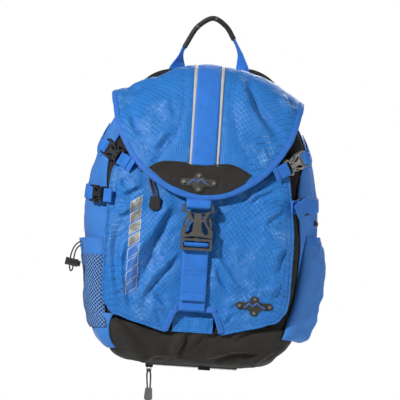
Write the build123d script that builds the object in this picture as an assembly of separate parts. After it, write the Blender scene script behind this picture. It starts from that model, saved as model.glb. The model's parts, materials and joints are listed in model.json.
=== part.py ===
"""Ski backpack, hung from its haul loop.

Millimetres. +Z is up, the pack's front faces -Y and the wearer's back +Y.
The origin of the saved pieces is under the peak of the haul loop, where a hook carries the pack.
The numbers below measure Y from the middle of the body instead; save() moves each piece.
Fabric is a thin closed solid of its true outer shape; buckles, badges, sliders and the cord lock
are modelled as moulded or stamped.
"""
from build123d import *
import os
from math import radians, tan

os.makedirs("parts", exist_ok=True)

# ---------------------------------------------------------------- driving dimensions
FABRIC = 3.0            # thickness of every fabric wall
TRIM = 1.2              # thickness of webbing, tape and stamped badges
CLEAR = 0.3             # gap between fabric faces on different bodies

HOOK_Y = 66.0           # plane of the haul loop
BODY_BACK = 60.0        # wearer's side of the main compartment
BODY_BOTTOM = -505.0
MOUTH = -122.0          # rim of the main compartment
BASE_SEAM = -445.0      # seam between the body panels and the black base

MAIN_WEBBING = 38.0     # front closure strap
SIDE_WEBBING = 20.0     # compression, shoulder, sternum and haul webbing
WAIST_WEBBING = 25.0
BUCKLE_LENGTH = 68.0    # side-release buckle for MAIN_WEBBING; the others scale from it

# right edge of the body seen from the front (x, z), top to bottom
BODY_SIDE = [(104, -112), (125, -138), (138, -160), (155, -205), (166, -250), (170, -300),
             (161, -345), (155, -400), (148, -450), (125, -482), (95, -499), (60, -507)]
REAR_TOP = [(104, -112), (70, -96), (35, -85), (0, -81.5)]
# front edge of the body seen from the side (y, z), top to bottom
BODY_FRONT = [(-24, -112), (-36, -150), (-48, -190), (-57, -230), (-61, -280), (-63, -400),
              (-66, -430), (-72, -453), (-66, -480), (-42, -501), (-28, BODY_BOTTOM)]
# plan of the body (x, y), right half, back to front
BODY_PLAN = [(150, 62), (182, 35), (182, -5), (138, -66), (105, -100)]

# flap: rows from the rear seam to the front tip: y, z at the middle, then how far the side
# lies behind and below the middle
FLAP_ROWS = [(58, -77, 0, 50), (32, -69, 0, 50), (2, -70, 4, 48), (-28, -83, 9, 42),
             (-55, -113, 14, 30), (-75, -155, 14, 18), (-87, -200, 12, 9),
             (-94, -240, 9, 4), (-97.5, -272, 8, 0)]
FLAP_HALF = 138.0
FLAP_SIDE = [(138, -116), (135.5, -135), (129, -163), (118, -187), (95, -219), (65, -243),
             (34, -258), (0, -264)]

# front panel: inner face (y, z) at the middle, and its outline
PANEL_PROFILE = [(-68, -195), (-75, -222), (-82, -265), (-85.5, -315), (-86, -370),
                 (-83, -415), (-77, -462)]
PANEL_HALF = 135.0
PANEL_WRAP = 10.0       # how far the side edges lie behind the middle
PANEL_FLAT = 88.0       # half width of the part that is straight across
PANEL_OUTLINE = [(0, -200), (98, -200), (126, -219), (134, -262), (PANEL_HALF, -330),
                 (134, -400), (126, -424), (104, -438), (70, -448), (40, -456), (0, -459)]
ARCH = [(42, -470), (29, -429), (24, -425)]      # right half of the cut-out's edge
ARCH_TAPE = 7.0
POCKET_ZIP_Z = -222.0
BADGE_SPAN, BADGE_RISE = 44.0, 20.0              # between rivets
FLAP_BADGE = (-6, -238)
PANEL_BADGE = (86, -412)

# zips
PULL_CORD = 2.4
PULL_TIP_LENGTH = 20.0
PULL_TIP_DEPTH = 6.0
ZIP_WIDTH = 11.0
POCKET_ZIP_LENGTH = 190.0
BASE_ZIP_HALF = 68.0
POCKET_SLIDER_X = -76.0
BASE_SLIDER_X = -61.0
BASE_ZIP_Y = -20.0


# ---------------------------------------------------------------- construction helpers
def mirrored(points):
    """The points with their first coordinate negated, in reverse order."""
    return [(-a, b) for a, b in reversed(points)]


def front_prism(face, front=-260, back=200):
    """A face drawn in X and Z, extruded along Y from front to back."""
    return extrude(Plane.XZ.offset(-back) * face, back - front, dir=(0, -1, 0))


def side_prism(face, half=260):
    """A face drawn in Y and Z, extruded to both sides along X."""
    return extrude(Plane.YZ * face, half, both=True)


def plan_prism(face, bottom=-600, top=0):
    """A face drawn in X and Y, extruded along Z."""
    return extrude(Plane.XY.offset(bottom) * face, top - bottom, dir=(0, 0, 1))


def box(x, y, z):
    """A box between two values on each axis."""
    size = [b - a for a, b in (x, y, z)]
    middle = [(a + b) / 2 for a, b in (x, y, z)]
    return Pos(*middle) * Box(*size)


def polygon(points):
    return make_face(Polyline(*points, close=True))


def ring_face(*curves):
    """A face bounded by curves that meet end to end."""
    return make_face(curves)


def symmetric(points):
    """A face whose right half is the list of points from the middle top to the middle bottom."""
    left = mirrored(points)
    return polygon([*points, *left[1:-1]])


def band(points, thickness):
    """A strip of constant thickness along a smooth line through the points."""
    sides = []
    for s in (0.5, -0.5):
        row = []
        for i, p in enumerate(points):
            a, b = points[max(i - 1, 0)], points[min(i + 1, len(points) - 1)]
            d = Vector(b[0] - a[0], b[1] - a[1]).normalized()
            row.append((p[0] - d.Y * thickness * s, p[1] + d.X * thickness * s))
        sides.append(row)
    one, two = sides
    return ring_face(Spline(*one), Line(one[-1], two[-1]), Spline(*reversed(two)),
                     Line(two[0], one[0]))


def mirror_x(shape):
    return mirror(shape, about=Plane.YZ)


def save(name, *shapes):
    """Writes one node, made of one or more separate solids, with its Y measured from the hook."""
    to_hook = Location((0, -HOOK_Y, 0))
    pieces = [solid.moved(to_hook) for shape in shapes for solid in shape.solids()]
    whole = pieces[0] if len(pieces) == 1 else Compound(children=pieces)
    export_step(whole, f"parts/{name}.step")


# ---------------------------------------------------------------- main compartment
def body_front_face(inset, top=None):
    """The body seen from the front; with a top, its sides run straight up to that height."""
    side = [(x - inset, z) for x, z in BODY_SIDE]
    edges = [Spline(*side), Line(side[-1], (-side[-1][0], side[-1][1])), Spline(*mirrored(side))]
    start = side[0]
    if top is None:
        edges.append(Spline(*[(-x, z) for x, z in REAR_TOP], *list(reversed(REAR_TOP))[1:]))
    else:
        edges += [Line((-start[0], start[1]), (-start[0], top)),
                  Line((-start[0], top), (start[0], top)), Line((start[0], top), start)]
    return ring_face(*edges)


def body_side_face(inset, top):
    front = [(y + inset, z) for y, z in BODY_FRONT[:-1]]
    front.append((BODY_FRONT[-1][0], BODY_BOTTOM + inset))
    back = BODY_BACK - inset
    corner = 20 - inset
    low = BODY_BOTTOM + inset
    return ring_face(
        Spline(*front), Line(front[-1], (back - corner, low)),
        ThreePointArc((back - corner, low), (back - corner * 0.293, low + corner * 0.293),
                      (back, low + corner)),
        Line((back, low + corner), (back, top)), Line((back, top), (front[0][0], top)),
        Line((front[0][0], top), front[0]))


def body_plan_face(inset):
    face = polygon([*BODY_PLAN, *mirrored(BODY_PLAN)])
    return offset(face, -inset, kind=Kind.INTERSECTION) if inset else face


def main_compartment():
    """The panels that the main compartment is sewn from."""
    outer = (front_prism(body_front_face(0, -60)) & side_prism(body_side_face(0, -55))
             & plan_prism(body_plan_face(0)))
    deep = side_prism(body_side_face(FABRIC, -45))
    wide = front_prism(body_front_face(FABRIC, -50)) & plan_prism(body_plan_face(FABRIC))
    upper = box((-300, 300), (-200, 200), (BASE_SEAM, MOUTH))
    skin = (outer & upper) - deep
    divider = skin & box((-300, 300), (-200, 20), (-600, 0))
    sides = ((outer & upper) & deep) - wide
    save("front_divider", divider)
    save("right_side_panel", sides & box((0, 300), (-200, 200), (-600, 0)))
    save("left_side_panel", sides & box((-300, 0), (-200, 200), (-600, 0)))

    rear = front_prism(body_front_face(0), BODY_BACK - FABRIC, BODY_BACK)
    rear = rear & plan_prism(body_plan_face(0)) & box((-300, 300), (-200, 200), (BASE_SEAM, 0))
    save("rear_wall", rear)

    lower = outer & box((-300, 300), (-200, 200), (-600, BASE_SEAM))
    save("base_panel", lower - (deep & wide))

    rim_out = plan_ring_volume(FABRIC, 1.5)
    rim_in = plan_ring_volume(FABRIC + 3, 1.5)
    ledge = plan_ring_volume(FABRIC, 4.5)
    collar = ((rim_out & box((-300, 300), (-200, 200), (-150, MOUTH - 1)))
              + (ledge & box((-300, 300), (-200, 200), (MOUTH - 3, MOUTH - 1)))
              + (rim_in & box((-300, 300), (-200, 200), (MOUTH - 3, MOUTH + 12))))
    save("collar", collar)
    return outer


def plan_ring_volume(inset, thickness):
    """The shell that lies between inset and inset + thickness inside the body."""
    def volume(d):
        return (front_prism(body_front_face(d, -50)) & side_prism(body_side_face(d, -45))
                & plan_prism(body_plan_face(d)))
    return volume(inset) - volume(inset + thickness)


# ---------------------------------------------------------------- front panel
def panel_face():
    """The front panel's inner face, a little larger than the panel."""
    xs = [-148, -128, -108, -PANEL_FLAT, -45, 0, 45, PANEL_FLAT, 108, 128, 148]
    rows = []
    for y, z in PANEL_PROFILE:
        rows.append([Vector(x, y + PANEL_WRAP * (max(0, abs(x) - PANEL_FLAT)
                                                 / (PANEL_HALF - PANEL_FLAT)) ** 2, z)
                     for x in xs])
    return Face.make_surface_from_array_of_points(rows)


def forward(face, start, end):
    """The layer between two distances in front of a face."""
    thick = extrude(face, end, dir=(0, -1, 0))
    return thick if start == 0 else thick - extrude(face, start, dir=(0, -1, 0))


def arch_face(grow):
    """The cut-out at the bottom of the front panel, grown sideways and upwards."""
    return symmetric([(0, ARCH[-1][1] + grow), (ARCH[2][0] + grow * 0.6, ARCH[2][1] + grow),
                      (ARCH[1][0] + grow, ARCH[1][1]), (ARCH[0][0] + grow, ARCH[0][1]),
                      (0, ARCH[0][1])])


def front_pocket(body):
    surface = panel_face()
    outline = fillet(symmetric(PANEL_OUTLINE).vertices(), 6)
    panel = forward(surface, 0, FABRIC) & front_prism(outline)
    arch = front_prism(arch_face(0), -150, -70)
    arch_cut = arch & box((-60, 60), (-150, -40), (-480, -400))
    save("front_panel", panel - arch_cut)

    tape = forward(surface, FABRIC, FABRIC + TRIM)
    rim = (front_prism(arch_face(ARCH_TAPE)) - front_prism(arch_face(0))) & front_prism(outline)
    save("arch_binding", tape & rim)

    inner = offset(outline, -FABRIC, kind=Kind.INTERSECTION)
    wall = front_prism(outline, -120, -40) - front_prism(inner, -120, -40)
    wall = wall & box((-300, 300), (-200, 0), (-480, -226))
    gusset = (wall - extrude(surface, 60, dir=(0, -1, 0))) - body
    save("pocket_gusset", gusset)

    zip_strip = front_prism(Pos(0, POCKET_ZIP_Z) * Rectangle(POCKET_ZIP_LENGTH, ZIP_WIDTH))
    save("pocket_zip", tape & zip_strip)
    return surface


# ---------------------------------------------------------------- badges
def badge_face(at):
    """A stamped plate with four lobes, one for each rivet."""
    plate = (SlotOverall(BADGE_SPAN + 10, 10.5) + SlotOverall(BADGE_RISE + 9, 13, rotation=90)
             + Polygon((-18, 0), (0, 12.5), (18, 0), (0, -12.5), align=None))
    return Pos(*at) * plate


def rivet_places(at):
    return [(at[0] - BADGE_SPAN / 2, at[1]), (at[0] + BADGE_SPAN / 2, at[1]),
            (at[0], at[1] + BADGE_RISE / 2), (at[0], at[1] - BADGE_RISE / 2)]


def domes(layer, at):
    """Rivet heads: the part of short round pins that stands in the layer above the badge."""
    return [layer & front_prism(Pos(*place) * Circle(2.4)) for place in rivet_places(at)]


# ---------------------------------------------------------------- flap
def flap_face():
    xs = [-144, -125, -100, -70, -35, 0, 35, 70, 100, 125, 144]
    rows = []
    for y, z, behind, below in FLAP_ROWS:
        rows.append([Vector(x, y + behind * (x / FLAP_HALF) ** 2,
                            z - below * (abs(x) / FLAP_HALF) ** 1.9) for x in xs])
    return Face.make_surface_from_array_of_points(rows)


def flap_layers(*heights):
    """Solids on the flap's inner face with these thicknesses, outward."""
    face = flap_face()
    out = face.normal_at(Vector(0, -94, -240))
    sign = 1 if out.Y < 0 else -1
    return [Solid.thicken(face, sign * h) for h in heights]


def patch_outline():
    """The black reinforcement at the tip of the flap."""
    top = [(-75, -207), (-62, -195), (-38, -189), (-14, -197), (2, -199), (20, -199),
           (42, -196), (60, -206), (75, -219)]
    tip = [(75, -219), (52, -240), (22, -253), (-2, -256), (-30, -249), (-58, -228), (-75, -207)]
    return ring_face(Spline(*top), Spline(*tip))


def flap():
    cloth, trim, plate, head = flap_layers(FABRIC, FABRIC + TRIM, FABRIC + 2 * TRIM,
                                           FABRIC + 3.4 * TRIM)
    side = Spline(*FLAP_SIDE)
    shape = ring_face(side, Spline(*mirrored(FLAP_SIDE)),
                      Line((-FLAP_HALF, -116), (-FLAP_HALF, -20)),
                      Line((-FLAP_HALF, -20), (FLAP_HALF, -20)),
                      Line((FLAP_HALF, -20), (FLAP_HALF, -116)))
    save("flap", cloth & front_prism(shape))

    tape = trim - cloth
    patch_prism = front_prism(patch_outline())
    front_half = box((-200, 200), (-150, 45), (-300, 0))
    strip = tape & front_half
    save("flap_patch", strip & patch_prism)
    above = strip - patch_prism
    upper = box((-200, 200), (-150, 45), (-215, 0))
    half = MAIN_WEBBING / 2 - 1
    webbing = above & upper & box((-half, half), (-150, 45), (-300, 0))
    save("flap_piping", *[above & upper & box((x - 2, x + 2), (-150, 45), (-300, 0))
                          for x in (-half - 2, half + 2)])
    save("flap_badge", (plate - trim) & front_prism(badge_face(FLAP_BADGE)))
    save("flap_badge_rivets", *domes(head - plate, FLAP_BADGE))
    return webbing


# ---------------------------------------------------------------- side-release buckle
def half_face(points):
    return [polygon(points), mirror(polygon(points), about=Plane.XZ)]


def buckle(webbing, thickness):
    """Socket and plug, lying in XY with the strap along X and the socket's bar at -X."""
    k = webbing / MAIN_WEBBING

    def at(*points):
        return [(x * k, y * k) for x, y in points]

    waist = at((-24, 20.5), (-16, 14.6), (-10, 12.5), (-2, 15.5), (5, 22.9))
    plate = ring_face(
        ThreePointArc(*at((-24, -20.5), (-19.5, 0), (-24, 20.5))), Spline(*waist),
        Line(*at((5, 22.9), (17, 22.9))), ThreePointArc(*at((17, 22.9), (14, 0), (17, -22.9))),
        Line(*at((17, -22.9), (5, -22.9))), Spline(*[(x, -y) for x, y in reversed(waist)]))
    half = thickness / 2
    room = half * 0.56
    body = extrude(plate, half, both=True)
    body -= box((-18 * k, 20 * k), (-21.6 * k, 21.6 * k), (-room, room))
    windows = half_face(at((-19.5, 5.5), (-19.5, 11), (-10.5, 6.5), (-10.5, 5.5)))
    windows += half_face(at((-7.2, 5.6), (-7.2, 9), (3, 15), (10.5, 17.6), (12, 13), (7, 7)))
    for window in windows:
        body -= extrude(window, thickness, both=True)
    horn = make_face([Spline(*at((-20, 23), (-27, 22.6), (-34, 19.6))),
                      Line(*at((-34, 19.6), (-33, 18.4))),
                      Spline(*at((-33, 18.4), (-27, 19.3), (-20, 16))),
                      Line(*at((-20, 16), (-20, 23)))])
    horns = extrude(horn, half * 0.75, both=True)
    horns += extrude(mirror(horn, about=Plane.XZ), half * 0.75, both=True)
    bar = Pos(-30 * k, 0, 0) * Rot(90, 0, 0) * Cylinder(1.9 * k, 40 * k)
    socket = body + (horns - box((-19 * k, 60), (-60, 60), (-60, 60))) + bar

    frame = Pos(25.8 * k, 0, 0) * extrude(RectangleRounded(16.8 * k, 45.8 * k, 2.5 * k),
                                          half * 0.85, both=True)
    frame -= box((20.6 * k, 30.9 * k), (-19.6 * k, 19.6 * k), (-half, half))
    frame += box((24.2 * k, 26.8 * k), (-20 * k, 20 * k), (-half * 0.75, half * 0.1))
    reach = room * 0.8
    arm = band(at((19, 16), (8, 17.4), (-5, 19.3), (-12, 16.6), (-16.5, 12.6)), 3.4 * k)
    arms = extrude(arm, reach, both=True) + extrude(mirror(arm, about=Plane.XZ), reach, both=True)
    guide = box((-6 * k, 19 * k), (-3.4 * k, 3.4 * k), (-reach, reach))
    return socket, frame + arms + guide


# ---------------------------------------------------------------- front closure
FRONT_BUCKLE = (-4, -101, -302)       # middle of the front buckle
FRONT_TILT = 0.035                    # how far its strap leans back towards the pack
STRAP_ANCHOR = (-88.2, -420.0)


def buckle_loop():
    """The webbing loop that hangs the front socket from the flap's tip."""
    bar_y, bar_z = FRONT_BUCKLE[1], FRONT_BUCKLE[2] + 30
    loop = Pos(bar_y, bar_z) * (Circle(4.2) - Circle(3.0))
    loop = loop - Pos(bar_y, bar_z + 10) * Rectangle(20, 20)
    legs = [polygon([(bar_y + a, bar_z - 0.2), (bar_y + b, bar_z - 0.2), (bar_y + c, bar_z + 6.5),
                     (bar_y + d, bar_z + 6.5)])
            for a, b, c, d in ((3.0, 4.2, 2.9, 1.7), (-4.2, -3.0, 1.2, 0))]
    face = loop + legs[0] + legs[1]
    half = 17.5
    return Pos(FRONT_BUCKLE[0], 0, 0) * side_prism(face, half)


def front_closure(flap_webbing):
    plane = Plane(origin=FRONT_BUCKLE, x_dir=(0, FRONT_TILT, -1), z_dir=(0, -1, -FRONT_TILT))
    socket, plug = [plane * half for half in buckle(MAIN_WEBBING, 11)]
    save("front_socket", socket)
    save("front_plug", plug)
    save("flap_webbing", flap_webbing, buckle_loop() - socket)
    y, z = FRONT_BUCKLE[1] + 1, FRONT_BUCKLE[2] - 25.5
    behind = band([STRAP_ANCHOR, (-91.5, -400), (-92.5, -370), (-93, -345), (y + 5.6, z - 4)],
                  TRIM)
    over = band([(y + 5.6, z - 4), (y + 3.5, z + 1.2), (y - 1.5, z + 3.4), (y - 4, z - 1),
                 (y - 3.6, z - 9), (-96.4, -350), (-95.6, -378), (-95, -410)], TRIM)
    strap = side_prism(behind + over, 18.6)
    save("front_strap", Pos(FRONT_BUCKLE[0], 0, 0) * strap - plug)


# ---------------------------------------------------------------- compression straps
UPPER = ((117, -80, -213), (0.72, 0.45, 0.53), (0.54, -0.84, -0.02))
LOWER = ((137, -81, -265), (0.60, 0.80, 0.06), (0.80, -0.60, 0.0))
SOCKET_REACH = 22.0       # from a strap's start to the middle of its buckle
# where the rear webbing turns round the flank and where it is sewn down
REAR_POINTS = {"upper": [(151.5, -50, -190), (142, 50, -163)],
               "lower": [(169.5, -27, -262), (168.5, 50, -258)]}


def straight_strap(start, end, normal, width, thickness):
    """A flat webbing from start to end that faces normal."""
    a, b = Vector(*start), Vector(*end)
    plane = Plane(origin=(a + b) * 0.5, x_dir=b - a, z_dir=Vector(*normal))
    return plane * Box((b - a).length, width, thickness)


def compression(body):
    tabs, sockets, straps = [], [], []
    for name, (start, along, normal) in (("upper", UPPER), ("lower", LOWER)):
        socket, plug = buckle(SIDE_WEBBING, 7.5)
        k = SIDE_WEBBING / MAIN_WEBBING
        direction = Vector(*along).normalized()
        facing = Vector(*normal)
        facing = (facing - direction * facing.dot(direction)).normalized()
        middle = Vector(*start) + direction * SOCKET_REACH
        plane = Plane(origin=middle, x_dir=direction, z_dir=facing)
        bar = -30 * k
        tab = box((bar - 9, bar - 1.4), (-9.5, 9.5), (-2.0, -0.8))
        tab += box((bar - 2.6, bar - 1.4), (-9.5, 9.5), (-2.0, 2.0))
        tabs.append(plane * tab)
        sockets.append(plane * socket)
        moving = plane * plug
        save(f"right_{name}_plug", moving)
        save(f"left_{name}_plug", mirror_x(moving))
        begin = middle + direction * (27 * k) - facing * 4.4
        turn, end = [Vector(*p) for p in REAR_POINTS[name]]
        rear = straight_strap(begin, turn, facing, SIDE_WEBBING - 1, TRIM)
        side = (end - turn).cross(Vector(0, 0, 1))
        rear += straight_strap(turn, end, side, SIDE_WEBBING - 1, TRIM)
        straps.append(rear - body)
    save("compression_tabs", *tabs, *[mirror_x(t) for t in tabs])
    save("right_sockets", *sockets)
    save("left_sockets", *[mirror_x(s) for s in sockets])
    save("compression_straps", *straps, *[mirror_x(s) for s in straps])


def panel_trim(surface):
    plate = forward(surface, FABRIC, FABRIC + TRIM)
    save("panel_badge", plate & front_prism(badge_face(PANEL_BADGE)))
    head = forward(surface, FABRIC + TRIM, FABRIC + 2.4 * TRIM)
    save("panel_badge_rivets", *domes(head, PANEL_BADGE))


# ---------------------------------------------------------------- side pockets
MESH_EDGE = [(176, -327), (172, -345), (166, -380), (163, -420), (154, -448),
             (140, -468), (110, -486)]
FABRIC_EDGE = [(177, -306), (183, -325), (184, -348), (179, -395), (170, -435),
               (155, -464), (110, -486)]
POCKET_PLAN = [(60, -40), (141, -60), (170, -40), (190, -8), (190, 26), (150, 52), (60, 40)]
SIDE_WALL = 2.0


def side_pocket(edge, hem_height, body, sign):
    """A pocket open at the top on the body's flank, cut into its hem band and its bag."""
    def filled(inset, above):
        outline = [(x - inset, z) for x, z in edge]
        low, high = outline[-1], (outline[0][0], outline[0][1] + above)
        borders = [Spline(*outline), Line(low, (20, low[1])), Line((20, low[1]), (20, high[1])),
                   Line((20, high[1]), high)]
        if above:
            borders.append(Line(high, outline[0]))
        face = ring_face(*borders)
        plan = polygon(POCKET_PLAN)
        if inset:
            plan = offset(plan, -inset, kind=Kind.INTERSECTION)
        return front_prism(face) & plan_prism(plan)

    bag = (filled(0, 0) - filled(SIDE_WALL, 20) - body) & box((20, 300), (-200, 200), (-600, 0))
    bag = Compound(children=[max(bag.solids(), key=lambda s: s.volume)])
    if sign < 0:
        bag = mirror_x(bag)
    seam = edge[0][1] - hem_height
    hem = bag & box((-300, 300), (-200, 200), (seam, 0))
    return hem, bag & box((-300, 300), (-200, 200), (-600, seam))


def side_pockets(body, drawcord):
    hem, bag = side_pocket(MESH_EDGE, 25, body, -1)
    save("mesh_pocket_hem", hem - drawcord)
    save("mesh_pocket", bag)
    hem, bag = side_pocket(FABRIC_EDGE, 12, body, 1)
    save("side_pocket_hem", hem)
    save("side_pocket", bag)


# ---------------------------------------------------------------- cords
def cord(points, diameter):
    """A round cord along a route whose corners are rounded as far as the runs allow."""
    route = [Vector(*p) for p in points]
    radii = []
    for before, here, after in zip(route, route[1:], route[2:]):
        one, two = here - before, after - here
        turn = radians(one.get_angle(two))
        radii.append(0.45 * min(one.length, two.length) / tan(turn / 2))
    wire = FilletPolyline(*route, radius=radii)
    print("cord", diameter, "length", round(wire.length, 1), "radii", [round(r, 1) for r in radii])
    section = Plane(origin=wire @ 0, z_dir=wire % 0) * Circle(diameter / 2)
    solid = sweep(section, path=wire, transition=Transition.ROUND)
    print("  volume ratio", round(solid.volume / (section.area * wire.length), 3))
    return solid


def pull(name, slider, ring, end, diameter, widths):
    """A slider and its pull: one cord doubled through the slider's bail, and a moulded tip."""
    x, y, z = ring
    end_x, end_y, end_z = end
    half = 1.9
    quarter = (x + (end_x - x) * 0.35, y + (end_y - y) * 0.5, z + (end_z - z) * 0.4)
    loop = cord([(end_x - half, end_y, end_z), (quarter[0] - half - 1.2, *quarter[1:]),
                 (x - half, y, z - 1), (x, y - 0.4, z + 2.6), (x + half, y, z - 1),
                 (quarter[0] + half + 1.2, *quarter[1:]), (end_x + half, end_y, end_z)], diameter)
    top, bottom = widths
    low = end_z - PULL_TIP_LENGTH
    outline = polygon([(end_x - top / 2, end_z), (end_x + top / 2, end_z),
                       (end_x + bottom / 2, low + 4), (end_x + bottom / 2 - 4, low),
                       (end_x - bottom / 2 + 4, low), (end_x - bottom / 2, low + 4)])
    tip = front_prism(outline, end_y - PULL_TIP_DEPTH / 2, end_y + PULL_TIP_DEPTH / 2)
    tip = fillet(tip.edges().filter_by(Axis.Y), 1.5)
    save(f"{name}_slider", slider - loop)
    save(f"{name}_pull_cord", loop)
    save(f"{name}_pull_tip", tip - loop)


def bail(x, y, top, depth=8.0):
    """The wire loop below a slider that its pull hangs from."""
    middle = top - depth / 2
    loop = RectangleRounded(7, depth, 1.4) - RectangleRounded(4.6, depth - 2.4, 1)
    return front_prism(Pos(x, middle) * loop, y - 0.6, y + 0.6)


def zips():
    x, y, z = POCKET_SLIDER_X, -82.4, POCKET_ZIP_Z - 1
    plate = front_prism(Pos(x, z) * RectangleRounded(8, 11, 2), y - 1.3, y + 1.3)
    pull("pocket", plate + bail(x, y - 0.7, z - 5), (x, y - 1.6, z - 11.2),
         (x + 8, y - 8.1, z - 39), PULL_CORD, (13, 16))

    x, y, z = BASE_SLIDER_X, BASE_ZIP_Y, BODY_BOTTOM - TRIM - CLEAR
    save("base_zip", box((-BASE_ZIP_HALF, BASE_ZIP_HALF), (y - ZIP_WIDTH / 2, y + ZIP_WIDTH / 2),
                         (BODY_BOTTOM - TRIM, BODY_BOTTOM)))
    plate = front_prism(Pos(x, z - 2) * RectangleRounded(11, 4, 1.2), y - 4, y + 4)
    pull("base", plate + bail(x, y, z - 3), (x, y, z - 8.6), (x + 1.5, y, z - 34),
         PULL_CORD, (10, 12.5))


def drawcord():
    """The mesh pocket's drawcord, doubled through its cord lock."""
    y = -30.0
    cord_points = [(-171, y + 2, -339), (-176.5, y, -343), (-179.6, y - 1, -352),
                   (-181, y - 1, -366), (-180.5, y - 1, -376), (-184.5, y - 1, -377.5),
                   (-186, y - 1, -366), (-184.8, y - 1, -352), (-178.5, y + 1, -337),
                   (-171, y + 3, -334)]
    route = cord(cord_points, 2.2)
    save("pocket_drawcord", route)
    tilt = Location((-183, y - 1, -365), (0, 10, 0))
    barrel = Rot(0, 90, 0) * Cylinder(5.6, 19)
    barrel -= Pos(4.5, 0, 0) * Rot(0, 90, 0) * Cylinder(4.4, 13)
    barrel -= Pos(-0.5, 0, 0) * Box(10.4, 3.4, 14)
    button = Pos(7.2, 0, 0) * Rot(0, 90, 0) * Cylinder(4.0, 11.5)
    button -= Pos(3.0, 0, 0) * Box(8.4, 3.4, 14)
    save("cord_lock_body", tilt * barrel)
    save("cord_lock_button", tilt * button)
    return route


# ---------------------------------------------------------------- haul loop
GRIP_RADIUS = 3.5


def haul_loop():
    y = HOOK_Y
    top = [(-42, -46), (-36, -34), (-20, -8), (0, 3.5), (20, -8), (36, -34), (42, -46)]
    line = Plane(origin=(0, y, 0), x_dir=(1, 0, 0), z_dir=(0, -1, 0)) * Spline(*top)
    grip = sweep(Plane(origin=line @ 0, z_dir=line % 0) * Circle(GRIP_RADIUS), path=line)
    save("haul_grip", grip)
    sheet = side_prism(band([(61.3, -100), (61.9, -91), (64.4, -82), (y, -72), (y, -38)], 1.6))
    leg = polygon([(36, -101), (62, -101), (60, -80), (50, -62), (46, -44), (42, -38),
                   (36, -42), (37, -62), (36, -80)])
    legs = (sheet & front_prism(leg)) - grip
    save("haul_loop", legs, mirror_x(legs))


# ---------------------------------------------------------------- carrying system
STRAP_PATH = [(75, -112), (81, -135), (85, -190), (88, -250), (88, -300), (86, -332)]
STRAP_EDGE = [(62, -108), (64, -160), (76, -230), (88, -290), (90, -334)]    # its middle line
STRAP_HALF = 29.0
CHEST_Y, CHEST_Z = 89.5, -195.0     # sternum strap
HIP_HINGE = (128.0, 75.0)   # hip wing hinge (x, y)
PAD_DEPTH = 12.0


def carrying_system():
    panel_back = BODY_BACK + FABRIC
    outline = front_prism(Polygon((-104, -108), (104, -108), (138, -170), (146, -280), (140, -400),
                                  (128, -455), (-128, -455), (-140, -400), (-146, -280),
                                  (-138, -170), align=None), BODY_BACK, panel_back)
    save("back_panel", outline, box((-70, 70), (panel_back, panel_back + 7), (MOUTH, -108)))
    save("frame_sheet", front_prism(Pos(0, -300) * Rectangle(200, 290), 55, BODY_BACK - FABRIC))
    pads = []
    for x, z, width, height in ((-42, -270, 50, 220), (42, -270, 50, 220), (0, -426, 190, 56)):
        pad = Pos(x, panel_back + PAD_DEPTH / 2, z) * Box(width, PAD_DEPTH, height)
        pads.append(fillet(pad.edges().filter_by(Axis.Y), 14))
    save("back_pads", *pads)

    path = side_prism(band(STRAP_PATH, 8))
    right_edge = [(x + STRAP_HALF, z) for x, z in STRAP_EDGE]
    left_edge = [(x - STRAP_HALF, z) for x, z in STRAP_EDGE]
    shape = ring_face(Spline(*right_edge), Line(right_edge[-1], left_edge[-1]),
                      Spline(*reversed(left_edge)), Line(left_edge[0], right_edge[0]))
    strap = path & front_prism(shape)
    x = STRAP_EDGE[-1][0]
    y, z = STRAP_PATH[-1]
    lock = box((x - 15, x + 15), (y - 2.5, y + 2.5), (z - 24, z - 2.5))
    for slot in (-8, -17.5):
        lock -= box((x - 11, x + 11), (y - 6, y + 6), (z + slot - 1.8, z + slot + 1.8))
    tail = box((x - 10, x + 10), (y + 2.5, y + 2.5 + TRIM), (z - 56, z - 5))
    chest = box((30, 62), (CHEST_Y, CHEST_Y + TRIM), (CHEST_Z - 10, CHEST_Z + 10))
    socket, plug = buckle(SIDE_WEBBING, 7.5)
    chest_half = {"right": Pos(12, CHEST_Y, CHEST_Z) * Rot(90, 0, 0) * plug,
                  "left": Pos(-12, CHEST_Y, CHEST_Z) * Rot(90, 0, 0) * socket}
    socket, plug = buckle(WAIST_WEBBING, 8.5)
    wing_x, wing_y = HIP_HINGE
    wing = front_prism(Polygon((wing_x, -398), (wing_x, -452), (36, -440), (28, -432), (28, -414),
                               (36, -408), align=None), wing_y + 1, wing_y + 10)
    belt_y = wing_y + 10
    belt = box((41, 116), (belt_y, belt_y + TRIM), (-436.5, -411.5))
    waist_half = {"right": Pos(17, belt_y + 4.4, -424) * Rot(90, 0, 0) * plug,
                  "left": Pos(-17, belt_y + 4.4, -424) * Rot(90, 0, 0) * socket}
    for side in ("right", "left"):
        to_side = (lambda shape: shape) if side == "right" else mirror_x
        save(f"{side}_shoulder_strap", to_side(strap))
        save(f"{side}_strap_buckles", to_side(lock), chest_half[side])
        save(f"{side}_shoulder_webbing", to_side(tail), to_side(chest - strap))
        save(f"{side}_hip_wing", to_side(wing))
        save(f"{side}_hip_webbing", to_side(belt))
        save(f"{side}_hip_buckle", waist_half[side])


def main():
    body = main_compartment()
    surface = front_pocket(body)
    panel_trim(surface)
    front_closure(flap())
    compression(body)
    side_pockets(body, drawcord())
    zips()
    haul_loop()
    carrying_system()


main()
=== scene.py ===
"""Looks of the ski backpack, over the CAD frame. Lengths inside the helpers are millimetres."""
import json
from math import cos, pi, radians, sin
import bpy
import numpy as np
from mathutils import Matrix, Vector


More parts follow.
